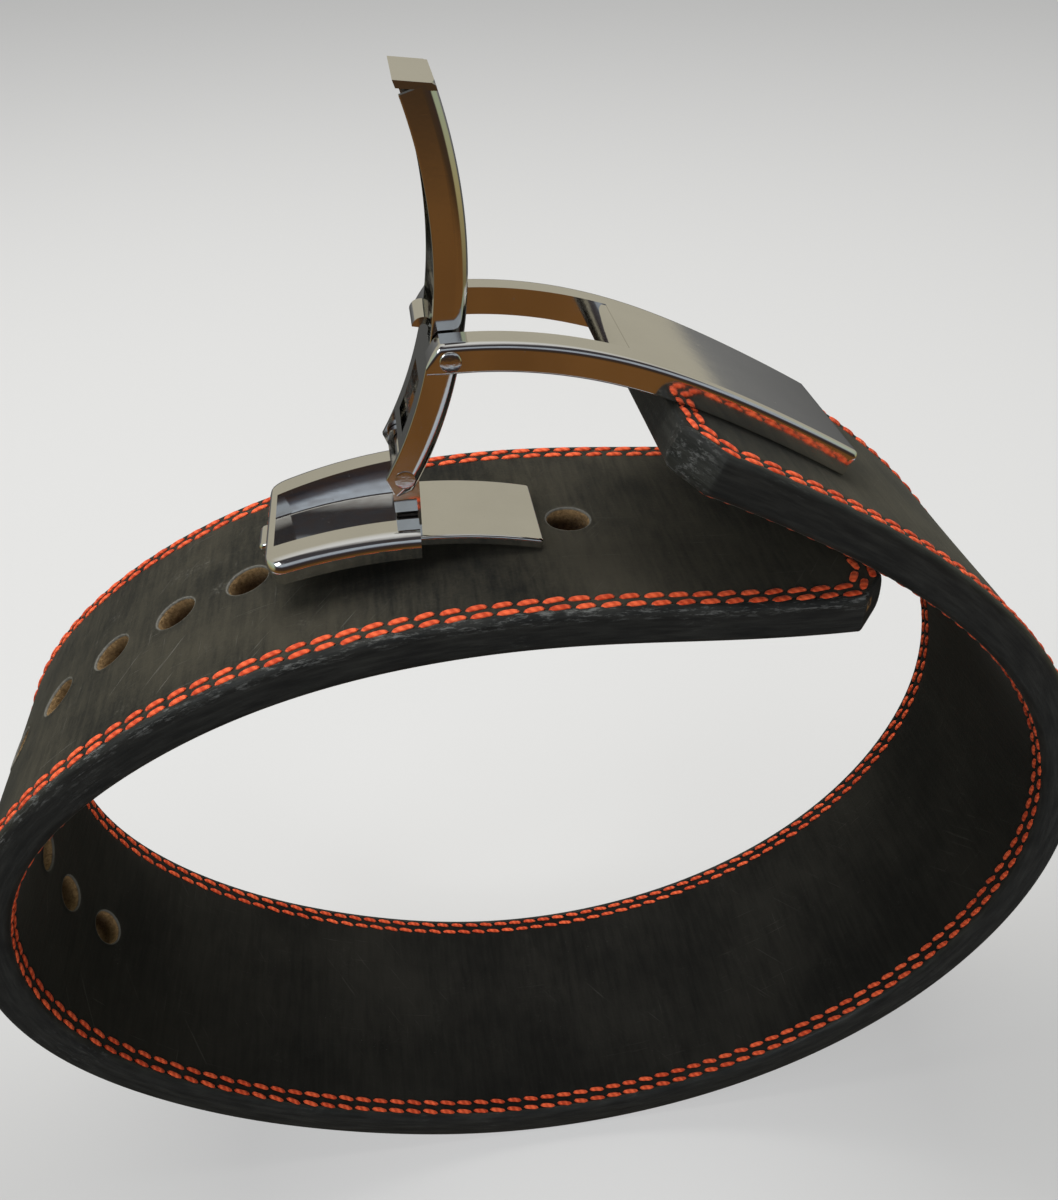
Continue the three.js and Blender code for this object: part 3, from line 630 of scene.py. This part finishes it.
def sew(name, sign, material):
    """All stitches of one face. sign is 1 on the outer face and -1 on the inner one."""
    shape, marks = strand()
    rings, sides = shape.shape[:2]
    rng = np.random.default_rng(OUTER_SEED if sign > 0 else INNER_SEED)
    middles, directions = zip(*(stitch_places(row, 0.5 * k) for k, row in enumerate(ROW_DISTANCES)))
    middle, direction = np.concatenate(middles), np.concatenate(directions)
    askew = np.radians(-8.0 + rng.normal(0, 2.5, len(middle)))
    plump = OUTER_PLUMPNESS if sign > 0 else 1.0
    turned = np.stack([
        direction[:, 0] * np.cos(askew) - direction[:, 1] * np.sin(askew),
        direction[:, 0] * np.sin(askew) + direction[:, 1] * np.cos(askew),
    ], axis=1)
    length = rng.normal(1.0, 0.03, (len(middle), 1, 1))
    beside = np.stack([-turned[:, 1], turned[:, 0]], axis=1) * sign
    flat = (middle[:, None, None] + shape[None, ..., :1] * turned[:, None, None] * length[..., None]
            + plump * shape[None, ..., 1:2] * beside[:, None, None])
    level = face_height(middle[:, 0], middle[:, 1])[:, None, None] + STITCH_RISE + shape[None, ..., 2]
    points = on_strap(flat[..., 0], flat[..., 1], sign * level)
    points[..., 2] = np.maximum(points[..., 2], 0.0)
    ids = np.arange(rings * sides).reshape(rings, sides)
    quads = ring_walls(ids).reshape(-1, 4)
    starts = np.arange(len(middle)) * rings * sides
    faces = (starts[:, None, None] + quads[None]).reshape(-1, 4).tolist()
    piece = new_piece(name, points, faces, material)
    share = np.broadcast_to(marks[None], (len(middle), *marks.shape)).reshape(-1, 2)
    number = np.repeat(rng.random(len(middle)), rings * sides)
    twist = piece.data.attributes.new("strand", "FLOAT_VECTOR", "POINT")
    twist.data.foreach_set("vector", np.column_stack([share, number]).ravel())
    outward(piece)
    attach(piece, "belt")


thread_finish, wire, shader = new_finish("orange_thread", Specular_IOR_Level=0.2, Sheen_Weight=0.05)
strand_place = wire.node("ShaderNodeAttribute", settings={"attribute_name": "strand"}, out=1)
share, turn, number = strand_place.parts()
phase = share * 16.0 + turn * (2 * np.pi)
ply = phase.maths("SINE", phase)
spot = wire.node("ShaderNodeTexCoord", out=3)
fluff = spot.noise(3500, 3.0, 0.6)
tint = (ply * 0.25 + number * 0.45 + fluff * 0.5).step(0.0, 1.0)
feed(shader, Base_Color=tint.blend((0.46, 0.044, 0.013, 1), (0.88, 0.140, 0.048, 1)))
feed(shader, Roughness=0.5 + fluff * 0.2)
feed(shader, Normal=(ply * 0.7 + fluff * 0.6).bump(0.00012, 0.7))

sew("outer_stitches", 1, thread_finish)
sew("inner_stitches", -1, thread_finish)


# The buckle's base: a chromed steel tray screwed over the strap's end through two bosses. It follows
# the leather's bend, its edges are rolled over, and past the strap it runs out in two solid arms round
# a window whose closed end is bent down as a lip. The arms' tips slope down past the lever's pin.

CLEARANCE = 0.3
BASE_WIDTH = 50.0
BASE_HEIGHT = 8.0
BASE_SHEET = 2.0
BASE_ROUND = 1.9
BASE_START = STRAP_LENGTH - 59.5
ARM_TIP = STRAP_LENGTH + 64.5
ARM_WIDTH = 8.5
WINDOW_START = STRAP_LENGTH + 13.5
WINDOW_WIDTH = BASE_WIDTH - 2 * ARM_WIDTH
BASE_UNDER = STRAP_THICKNESS / 2 + CLEARANCE
BASE_TOP = BASE_UNDER + BASE_HEIGHT
PIN_RADIUS = 2.0
PIN_HOLE = PIN_RADIUS + CLEARANCE
ARM_SLOPE = 4.0
BOSS_RADIUS = 5.0
BORE_RADIUS = 3.3
BESIDE_ROUND = 0.3
MERGE = 0.02 * MM
SHARP = np.radians(38)
base_pin = on_strap(ARM_TIP - 6.0, 0.0, BASE_UNDER + 3.4) / MM


def rounded_corner(across, out, radius, start):
    """A quarter circle in a section, counter-clockwise from the start angle, about a corner point
    moved inwards. A point just before and after it keeps the faces beside it flat in shading."""
    turn = start + np.linspace(0, np.pi / 2, 6)
    toward = np.array([np.cos(start) - np.sin(start), np.sin(start) + np.cos(start)])
    middle = np.stack([across - radius * toward[0], out - radius * toward[1]], axis=-1)[:, None]
    arc = middle + radius[:, None, None] * np.stack([np.cos(turn), np.sin(turn)], axis=-1)
    before = arc[:, :1] - BESIDE_ROUND * np.array([-np.sin(turn[0]), np.cos(turn[0])])
    after = arc[:, -1:] + BESIDE_ROUND * np.array([-np.sin(turn[-1]), np.cos(turn[-1])])
    return np.concatenate([before, arc, after], axis=1)


def round_box(left, right, low, high, low_round, high_round):
    """Section with four round corners for each station; every size is a number or one per station."""
    sizes = np.broadcast_arrays(*np.atleast_1d(left, right, low, high, low_round, high_round))
    left, right, low, high, low_round, high_round = [np.asarray(size, float) for size in sizes]
    return np.concatenate([
        rounded_corner(right, high, high_round, 0.0),
        rounded_corner(left, high, high_round, np.pi / 2),
        rounded_corner(left, low, low_round, np.pi),
        rounded_corner(right, low, low_round, 1.5 * np.pi),
    ], axis=1)


def swept(name, place, stations, section):
    """A closed body: one section ring per station, walls between rings and a face on each end."""
    stations = np.asarray(stations, float)
    section = np.broadcast_to(section, (len(stations), *section.shape[-2:]))
    points = place(stations[:, None], section[..., 0], section[..., 1])
    rows, size = points.shape[:2]
    index = np.arange(rows * size).reshape(rows, size)
    faces = [tuple(face) for face in ring_walls(index).reshape(-1, 4).tolist()]
    faces += [tuple(index[0].tolist()), tuple(index[-1][::-1].tolist())]
    return outward(new_piece(name, points, faces))


def plank(name, place, outline, low, high):
    """A body whose side outline, in stations and distances out, runs straight across the width."""
    outline = np.asarray(outline, float)
    points = np.stack([place(outline[:, 0], y, outline[:, 1]) for y in (low, high)])
    size = len(outline)
    walls = [(i, (i + 1) % size, (i + 1) % size + size, i + size) for i in range(size)]
    faces = [*walls, tuple(range(size))[::-1], tuple(range(size, 2 * size))]
    return outward(new_piece(name, points, faces))


def turned_rod(name, start, end, profile, sides=48):
    """A body turned about the line from start to end. The profile lists shares along and radii."""
    start, end = np.asarray(start, float), np.asarray(end, float)
    profile = np.asarray(profile, float)
    axis = (end - start) / np.linalg.norm(end - start)
    side = np.cross(axis, (0.31, 0.55, 0.77))
    side = side / np.linalg.norm(side)
    other = np.cross(axis, side)
    turn = np.linspace(0, 2 * np.pi, sides, endpoint=False)[None, :, None]
    middle = start + profile[:, :1] * (end - start)
    ring = middle[:, None] + profile[:, 1][:, None, None] * (np.cos(turn) * side + np.sin(turn) * other)
    rows = len(profile)
    index = np.arange(rows * sides).reshape(rows, sides)
    walls = ring_walls(index)[..., [0, 3, 2, 1]]
    faces = [tuple(face) for face in walls.reshape(-1, 4).tolist()]
    faces += [tuple(index[0][::-1].tolist()), tuple(index[-1].tolist())]
    return outward(new_piece(name, ring * MM, faces))


def rod_across(name, point, low, high, radius):
    """A plain round rod along the belt's width through a point, in millimetres."""
    start, end = (point[0], low, point[2]), (point[0], high, point[2])
    return turned_rod(name, start, end, [(0, radius), (1, radius)])


def combine(body, operation, *tools):
    """Joins the tools to the body, or cuts them from it, one after the other, and removes them."""
    for tool in tools:
        change = body.modifiers.new("change", "BOOLEAN")
        change.operation = operation
        change.solver = "EXACT"
        change.object = tool
        ready = body.evaluated_get(bpy.context.evaluated_depsgraph_get())
        mesh = bpy.data.meshes.new_from_object(ready)
        body.modifiers.clear()
        old = body.data
        body.data = mesh
        bpy.data.meshes.remove(old)
        spent = tool.data
        bpy.data.objects.remove(tool)
        bpy.data.meshes.remove(spent)
    return body


def mend(mesh):
    """Joins points that lie together and closes any small face that a cut has left open."""
    work = bmesh.new()
    work.from_mesh(mesh)
    bmesh.ops.remove_doubles(work, verts=work.verts, dist=MERGE)
    bmesh.ops.dissolve_degenerate(work, edges=work.edges, dist=MERGE)
    loose = [edge for edge in work.edges if not edge.link_faces]
    bmesh.ops.delete(work, geom=loose, context="EDGES")
    bmesh.ops.holes_fill(work, edges=[edge for edge in work.edges if edge.is_boundary], sides=0)
    bmesh.ops.recalc_face_normals(work, faces=work.faces)
    work.to_mesh(mesh)
    work.free()


def polish(piece, material, name, body, node):
    """Shades a metal piece smooth between its sharp edges and takes its node's place."""
    mend(piece.data)
    piece.name = name
    piece.data.name = name
    piece.data.materials.clear()
    piece.data.materials.append(material)
    piece.data.polygons.foreach_set("use_smooth", np.ones(len(piece.data.polygons), bool))
    piece.data.polygons.foreach_set("material_index", np.zeros(len(piece.data.polygons), int))
    piece.data.set_sharp_from_angle(angle=SHARP)
    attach(piece, body)
    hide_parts(node)


chrome_finish, wire, shader = new_finish("polished_chrome", Metallic=1.0)
spot = wire.node("ShaderNodeTexCoord", out=3)
smear = spot.noise(45, 4.0, 0.6)
grain = spot.noise(900, 3.0, 0.6)
hairline = spot.noise(60, 4.0, 0.65, (1.0, 18.0, 18.0)).step(0.66, 0.74)
fleck = spot.noise(1300, 1.0, 0.5).step(0.74, 0.79) * spot.noise(70, 2.0).step(0.5, 0.62)
clean = smear.blend((0.66, 0.655, 0.63, 1), (0.76, 0.755, 0.735, 1))
feed(shader, Base_Color=(fleck * 0.5).blend(clean, (0.30, 0.29, 0.27, 1)))
feed(shader, Roughness=0.035 + smear * 0.08 + grain * 0.02 + hairline * 0.05 + fleck * 0.2)
ripple = smear * 0.8 + grain * 0.05 - hairline * 0.06 - fleck * 0.2
feed(shader, Normal=ripple.bump(0.00025, 0.22))


def end_inset(distance, radius):
    """How far a round of this radius draws a surface in at a distance from its end."""
    left = np.clip(radius - distance, 0, radius)
    return radius - np.sqrt(radius**2 - left**2)


def base_outer():
    """The tray and arms as one bar before the window and the hollow are cut."""
    rolled = BASE_START + BASE_ROUND * (1 - np.cos(np.radians([0, 18, 36, 54, 72, 90])))
    straight = np.arange(BASE_START + 3, ARM_TIP - ARM_SLOPE, 1.5)
    slope = ARM_TIP - ARM_SLOPE + np.array([0.0, 1.0, 2.0, 3.0, 3.6, 4.0])
    stations = np.concatenate([rolled, straight, slope])
    past = np.clip(1 - (ARM_TIP - stations) / ARM_SLOPE, 0, 1)
    inset = end_inset(stations - BASE_START, BASE_ROUND * 0.8)
    top = BASE_TOP - 5.4 * past**1.25 - inset
    half = BASE_WIDTH / 2 - inset
    round_off = np.minimum(BASE_ROUND, (top - BASE_UNDER) / 3)
    return swept("base", on_strap, stations, round_box(
        -half, half, BASE_UNDER + 0.4 * past, top, 0.4, round_off))


base = base_outer()
window_half = WINDOW_WIDTH / 2
hollow_half = BASE_WIDTH / 2 - BASE_SHEET
combine(base, "DIFFERENCE", swept(
    "hollow", on_strap, np.linspace(BASE_START + BASE_SHEET, WINDOW_START - 5, 24),
    round_box(-hollow_half, hollow_half, 0.0, BASE_TOP - BASE_SHEET, 0.2, 1.0)))
combine(base, "DIFFERENCE", swept(
    "window", on_strap, np.linspace(WINDOW_START, ARM_TIP + 8, 12),
    round_box(-window_half, window_half, 0.0, BASE_TOP + 10, 0.2, 0.2)))
lip_start = WINDOW_START - BASE_SHEET
combine(base, "UNION", plank("lip", on_strap, [
    (lip_start, BASE_TOP - BASE_SHEET),
    (lip_start + 2.0, BASE_TOP - 2.2),
    (lip_start + 4.0, BASE_TOP - 6.4),
    (lip_start + 6.0, BASE_TOP - 6.4),
    (lip_start + 4.6, BASE_TOP - 1.3),
    (lip_start + 3.4, BASE_TOP - 0.25),
    (lip_start, BASE_TOP - 0.05),
], -window_half - 0.6, window_half + 0.6))
SCREW_STATIONS = (STRAP_LENGTH - 47.0, STRAP_LENGTH - 20.0)
for station in SCREW_STATIONS:
    foot = on_strap(station, 0.0, BASE_UNDER) / MM
    crown = on_strap(station, 0.0, BASE_TOP - 1.0) / MM
    combine(base, "UNION", turned_rod("boss", foot, crown, [(0, BOSS_RADIUS), (1, BOSS_RADIUS)]))
for station in SCREW_STATIONS:
    mouth = on_strap(station, 0.0, 0.0) / MM
    deep = on_strap(station, 0.0, BASE_UNDER + 5.3) / MM
    combine(base, "DIFFERENCE", turned_rod("bore", mouth, deep, [(0, BORE_RADIUS), (1, BORE_RADIUS)]))
combine(base, "DIFFERENCE", rod_across("pin_hole", base_pin, -26, 26, PIN_HOLE))
polish(base, chrome_finish, "chrome_base", "belt", "buckle_base")


# The base's two screws: plain steel with broad flat heads, turned from bar. They go in from the strap's
# inner side through the leather into the base's bosses. Only the heads show, so the two solids keep
# their shape and take a finish of fine turning marks.

steel_finish, wire, shader = new_finish("screw_steel", Metallic=1.0)
spot = wire.node("ShaderNodeTexCoord", out=3)
turned = spot.noise(260, 4.0, 0.6, (1.0, 9.0, 1.0))
feed(shader, Base_Color=turned.blend((0.40, 0.395, 0.385, 1), (0.58, 0.575, 0.56, 1)))
feed(shader, Roughness=0.28 + turned * 0.2)
feed(shader, Normal=turned.bump(0.0002, 0.3))
for name in ("base_screw_a", "base_screw_b"):
    for screw_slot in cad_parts[name].material_slots:
        screw_slot.material = steel_finish


# The hook plate: one chromed steel piece that lies over the holes. Its left half is a trough between
# two rails, closed at the end by a low wall with a small tab. Its right half is a thin plate with a
# turned-down rim and a round prong that goes down into a hole. Two ears carry the lever's lower pin.

PLATE_RADIUS = 150.3
HOOKED_STATION = float(HOLE_STATIONS[1])
PLATE_SEAT = HOOKED_STATION - 14.4
plate_seat = on_strap(PLATE_SEAT, 0.0, STRAP_THICKNESS / 2 + 1.5 * CLEARANCE) / MM
plate_start = float(heading_at(np.array(PLATE_SEAT))) - np.pi / 2 - np.radians(13.2)
plate_centre = plate_seat[[0, 2]] - PLATE_RADIUS * np.array([np.cos(plate_start), np.sin(plate_start)])


def on_bend(centre, radius, start):
    """A place function for a piece bent round a centre: stations run along its arc."""
    def place(along, across, out):
        along, across, out = np.broadcast_arrays(along, across, out)
        angle = start + along / radius
        x = centre[0] + (radius + out) * np.cos(angle)
        z = centre[1] + (radius + out) * np.sin(angle)
        return np.stack([x, across, z], axis=-1) * MM
    return place


on_plate = on_bend(plate_centre, PLATE_RADIUS, plate_start)
HOOK_PIN_AT, HOOK_PIN_OUT = 39.3, 21.6
hook_pin = on_plate(HOOK_PIN_AT, 0.0, HOOK_PIN_OUT) / MM
PLATE_LENGTH = 36.6
BLOCK_END = PLATE_LENGTH + 43.7
BLOCK_HALF = 25.0
BLOCK_CORNER = 5.0
RAIL_HEIGHT = 8.5
RAIL_ROUND = 3.8
RAIL_UNDERCUT = 1.2
FAR_RAIL = (12.5, 8.5)
TROUGH_HALF = BLOCK_HALF - 10.0
TROUGH_SIDE = TROUGH_HALF + 0.2
WALL_LEAN = 3.0
FLOOR_RISE = 4.2
PLATE_HALF = 17.0
PLATE_SHEET = 2.0
PRONG_RADIUS = 3.5
EAR_RADIUS = 3.5


def trough_block():
    """The trough's block: one section whose near and far rails differ in height, drawn in at its
    left end along quarter circles."""
    straight = np.linspace(PLATE_LENGTH, BLOCK_END - BLOCK_CORNER, 27)
    turn = BLOCK_END - BLOCK_CORNER * (1 - np.sin(np.radians([15, 30, 45, 60, 75, 90])))
    stations = np.concatenate([straight, turn])
    half = BLOCK_HALF - end_inset(BLOCK_END - stations, BLOCK_CORNER)
    share = np.clip((stations - PLATE_LENGTH) / (BLOCK_END - PLATE_LENGTH), 0, 1)
    far = FAR_RAIL[0] + (FAR_RAIL[1] - FAR_RAIL[0]) * share
    drop = end_inset(BLOCK_END - stations, 1.5)
    near_top, far_top = RAIL_HEIGHT - drop, far - drop
    top_round = np.full(len(stations), RAIL_ROUND)
    foot_round = np.full(len(stations), 0.3)

    def point_at(across, out):
        pair = np.broadcast_arrays(across, out, half)[:2]
        return np.stack(pair, axis=-1)[:, None]

    section = np.concatenate([
        rounded_corner(half, far_top, top_round, 0.0),
        point_at(TROUGH_HALF, far_top),
        point_at(-TROUGH_HALF, near_top),
        rounded_corner(-half, near_top, top_round, np.pi / 2),
        rounded_corner(-half + RAIL_UNDERCUT, 0.0 * half, foot_round, np.pi),
        rounded_corner(half, 0.0 * half, foot_round, 1.5 * np.pi),
    ], axis=1)
    return swept("block", on_plate, stations, section)


hook = trough_block()
far_foot = TROUGH_HALF - WALL_LEAN
floor_across = np.linspace(-TROUGH_SIDE, far_foot, 12)
floor_out = 2.0 + FLOOR_RISE * ((far_foot - floor_across) / (far_foot + TROUGH_HALF)) ** 1.7
trough_section = np.array([
    *zip(floor_across, floor_out), (far_foot + 0.5, 2.5),
    (TROUGH_SIDE, FAR_RAIL[0]), (TROUGH_SIDE, 20.0), (-TROUGH_SIDE, 20.0),
])
combine(hook, "DIFFERENCE", swept(
    "trough", on_plate, np.linspace(PLATE_LENGTH - 1, BLOCK_END - 3, 30), trough_section))
thin_stations = np.concatenate([[0, 0.15, 0.5, 1.0], np.linspace(2, PLATE_LENGTH + 1, 24)])
thin_inset = end_inset(thin_stations, 1.0)
thin_plate = swept("plate", on_plate, thin_stations, round_box(
    -PLATE_HALF + thin_inset, PLATE_HALF - thin_inset, 0.05, 3 - thin_inset, 0.2, 0.9))
under_half = PLATE_HALF - PLATE_SHEET
combine(thin_plate, "DIFFERENCE", swept(
    "underside", on_plate, np.linspace(PLATE_SHEET, PLATE_LENGTH - 2, 20),
    round_box(-under_half, under_half, -3, 1, 0.2, 0.2)))
prong_mouth = on_strap(HOOKED_STATION, 0.0, STRAP_THICKNESS / 2 - 3.0) / MM
prong_angle = np.arctan2(prong_mouth[2] - plate_centre[1], prong_mouth[0] - plate_centre[0])
prong_at = (prong_angle - plate_start) * PLATE_RADIUS
prong_top, prong_end = on_plate(prong_at, 0.0, 2.0) / MM, on_plate(prong_at, 0.0, -10.3) / MM
combine(thin_plate, "UNION", turned_rod("prong", prong_top, prong_end, [
    (0, PRONG_RADIUS), (0.88, PRONG_RADIUS), (0.94, 3.25), (0.98, 2.7), (1.0, 2.0)]))
combine(hook, "UNION", thin_plate)
combine(hook, "UNION", swept(
    "tab", on_plate, [BLOCK_END - 1.5, BLOCK_END + 2.5, BLOCK_END + 3.6, BLOCK_END + 4],
    round_box(np.array([-6, -6, -5.6, -5.0]), np.array([6, 6, 5.6, 5.0]), 0.1,
              np.array([5, 5, 4.6, 4.0]), 0.3, 1.2)))
LEVER_HALF = WINDOW_WIDTH / 2 - 1.0
CHANNEL_HALF = LEVER_HALF - 2.0
for side in (-1, 1):
    edges = sorted((side * (CHANNEL_HALF - 0.5), side * (CHANNEL_HALF - 3.0)))
    crown = np.radians(np.linspace(0, 180, 19))
    ear = np.column_stack([
        HOOK_PIN_AT + EAR_RADIUS * np.cos(crown), HOOK_PIN_OUT + EAR_RADIUS * np.sin(crown)])
    feet = [(HOOK_PIN_AT - EAR_RADIUS, 1.0), (HOOK_PIN_AT + EAR_RADIUS, 1.0)]
    combine(hook, "UNION", plank("ear", on_plate, [feet[1], *ear, feet[0]], *edges))
combine(hook, "DIFFERENCE", rod_across("pin_hole", hook_pin, -17, 17, PIN_HOLE))
polish(hook, chrome_finish, "chrome_hook", "hook", "hook_plate")


# The lever: a chromed channel of bent steel sheet between the base's arms, open on its hollow side
# above the base's pin. Its tip is turned over as a lip. Below the pin it has a web with a slot and a
# small curled tab on the hollow side, and its two cheeks run on to the lower pin and end in a point.

LEVER_RADIUS = 130.8
LEVER_OUT = 4.3
LEVER_IN = 4.8
LEVER_SHEET = 2.0
LEVER_REACH = 64.4
LEVER_TOE = 5.6
LEVER_ROUND = 3.2
SLOT_ENDS = (-31.0, -14.0)
SLOT_HALF = 8.0
span = hook_pin[[0, 2]] - base_pin[[0, 2]]
half_span = np.linalg.norm(span) / 2
away = np.array([span[1], -span[0]]) / (2 * half_span)
lever_centre = base_pin[[0, 2]] + span / 2 + away * np.sqrt(LEVER_RADIUS**2 - half_span**2)
lever_start = np.arctan2(*(base_pin[[0, 2]] - lever_centre)[::-1])
lower_angle = np.arctan2(*(hook_pin[[0, 2]] - lever_centre)[::-1])
HOOK_AT = (lower_angle - lever_start) * LEVER_RADIUS
WEB_END = HOOK_AT + 7.0
on_lever = on_bend(lever_centre, LEVER_RADIUS, lever_start)


def lever_outer():
    """The whole channel as one solid bar, pointed at its lower end."""
    toe = HOOK_AT - LEVER_TOE
    shoulder = toe + 0.55 * LEVER_TOE
    stations = np.concatenate([
        np.linspace(toe, shoulder, 5), np.arange(shoulder + 1.5, LEVER_REACH, 1.5), [LEVER_REACH]])
    point = np.clip((shoulder - stations) / (shoulder - toe), 0, 1)
    low, high = -LEVER_IN * (1 - 0.8 * point), LEVER_OUT * (1 - 0.8 * point)
    rolled = LEVER_ROUND * (1 - 0.8 * point)
    return swept("lever", on_lever, stations, round_box(
        -LEVER_HALF, LEVER_HALF, low, high, 0.25, rolled))


def channel(name, start, end, low, high, half):
    """A cutter that follows the lever's bend, with small round corners."""
    count = int((end - start) / 1.7) + 2
    return swept(name, on_lever, np.linspace(start, end, count),
                 round_box(-half, half, low, high, 0.1, 0.8))


lever = lever_outer()
web = LEVER_OUT - LEVER_SHEET
combine(
    lever, "DIFFERENCE",
    channel("upper_channel", 0.0, LEVER_REACH + 9, -12, web, CHANNEL_HALF),
    channel("lower_channel", HOOK_AT - 12, 1.0, LEVER_SHEET - LEVER_IN, web, CHANNEL_HALF + 0.001),
    channel("open_foot", HOOK_AT - 12, WEB_END, -12, 12, CHANNEL_HALF + 0.002),
    channel("slot", *SLOT_ENDS, -12, 0, SLOT_HALF),
)
combine(lever, "UNION", plank("lip", on_lever, [
    (LEVER_REACH - LEVER_SHEET, LEVER_OUT - 0.1),
    (LEVER_REACH - 0.9, LEVER_OUT),
    (LEVER_REACH, LEVER_OUT - 0.8),
    (LEVER_REACH + 3.8, -LEVER_IN - 0.1),
    (LEVER_REACH + 1.8, -LEVER_IN - 0.1),
], -LEVER_HALF + 0.02, LEVER_HALF - 0.02))
CURL = 3.2
curl_turn = np.radians(np.linspace(0, 180, 17))
curl_out = -LEVER_IN - (CURL - LEVER_SHEET)
curl_arc = np.column_stack([np.sin(curl_turn), np.cos(curl_turn)])
inner = CURL - LEVER_SHEET
curl_outer = (CURL / 2, curl_out) + CURL * curl_arc
curl_inner = (CURL / 2, curl_out) + inner * curl_arc[::-1]
root = -CURL / 2
combine(lever, "UNION", plank("curled_tab", on_lever, [
    (root, curl_out + CURL - 0.02), *curl_outer, *curl_inner, (root, curl_out + inner + 0.02)], -7, 7))
combine(lever, "DIFFERENCE", rod_across("upper_hole", base_pin, -17, 17, PIN_HOLE),
        rod_across("lower_hole", hook_pin, -17, 17, PIN_HOLE))
polish(lever, chrome_finish, "chrome_lever", "lever_arm", "lever")


# The two pins: plain bright steel rods across the belt. The upper one joins the lever to the base's
# arms and the lower one joins it to the hook plate's ears. Their ends are riveted over into low domed
# heads outside what they join, a little hammered.

HEAD_RADIUS = 2.9

pin_finish, wire, shader = new_finish("pin_steel", Metallic=1.0)
spot = wire.node("ShaderNodeTexCoord", out=3)
hammered = spot.noise(600, 3.0, 0.6)
feed(shader, Base_Color=hammered.blend((0.60, 0.59, 0.57, 1), (0.74, 0.73, 0.70, 1)))
feed(shader, Roughness=0.10 + hammered * 0.12)
feed(shader, Normal=hammered.bump(0.0003, 0.35))


def riveted_pin(name, point, reach, rise, body, node):
    """A rod across the belt between two low domes. At a share t of its rise a dome's radius is
    HEAD_RADIUS times the root of 1 - t squared."""
    face = reach + CLEARANCE / 3
    tip = face + rise
    share = np.linspace(1, 0, 8)
    dome = HEAD_RADIUS * np.sqrt(1 - (0.99 * share) ** 2)
    offsets = np.concatenate([-face - rise * share, [-face, face], face + rise * share[::-1]])
    radii = np.concatenate([dome, [PIN_RADIUS, PIN_RADIUS], dome[::-1]])
    profile = np.column_stack([(offsets + tip) / (2 * tip), radii])
    start, end = (point[0], -tip, point[2]), (point[0], tip, point[2])
    pin = turned_rod(name, start, end, profile)
    pin.data.materials.append(pin_finish)
    pin.data.set_sharp_from_angle(angle=np.radians(50))
    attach(pin, body)
    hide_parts(node)


riveted_pin("chrome_lever_pin", base_pin, BASE_WIDTH / 2, 0.8, "belt", "lever_pin")
riveted_pin("chrome_hook_pin", hook_pin, LEVER_HALF, 0.2, "lever_arm", "hook_pin")
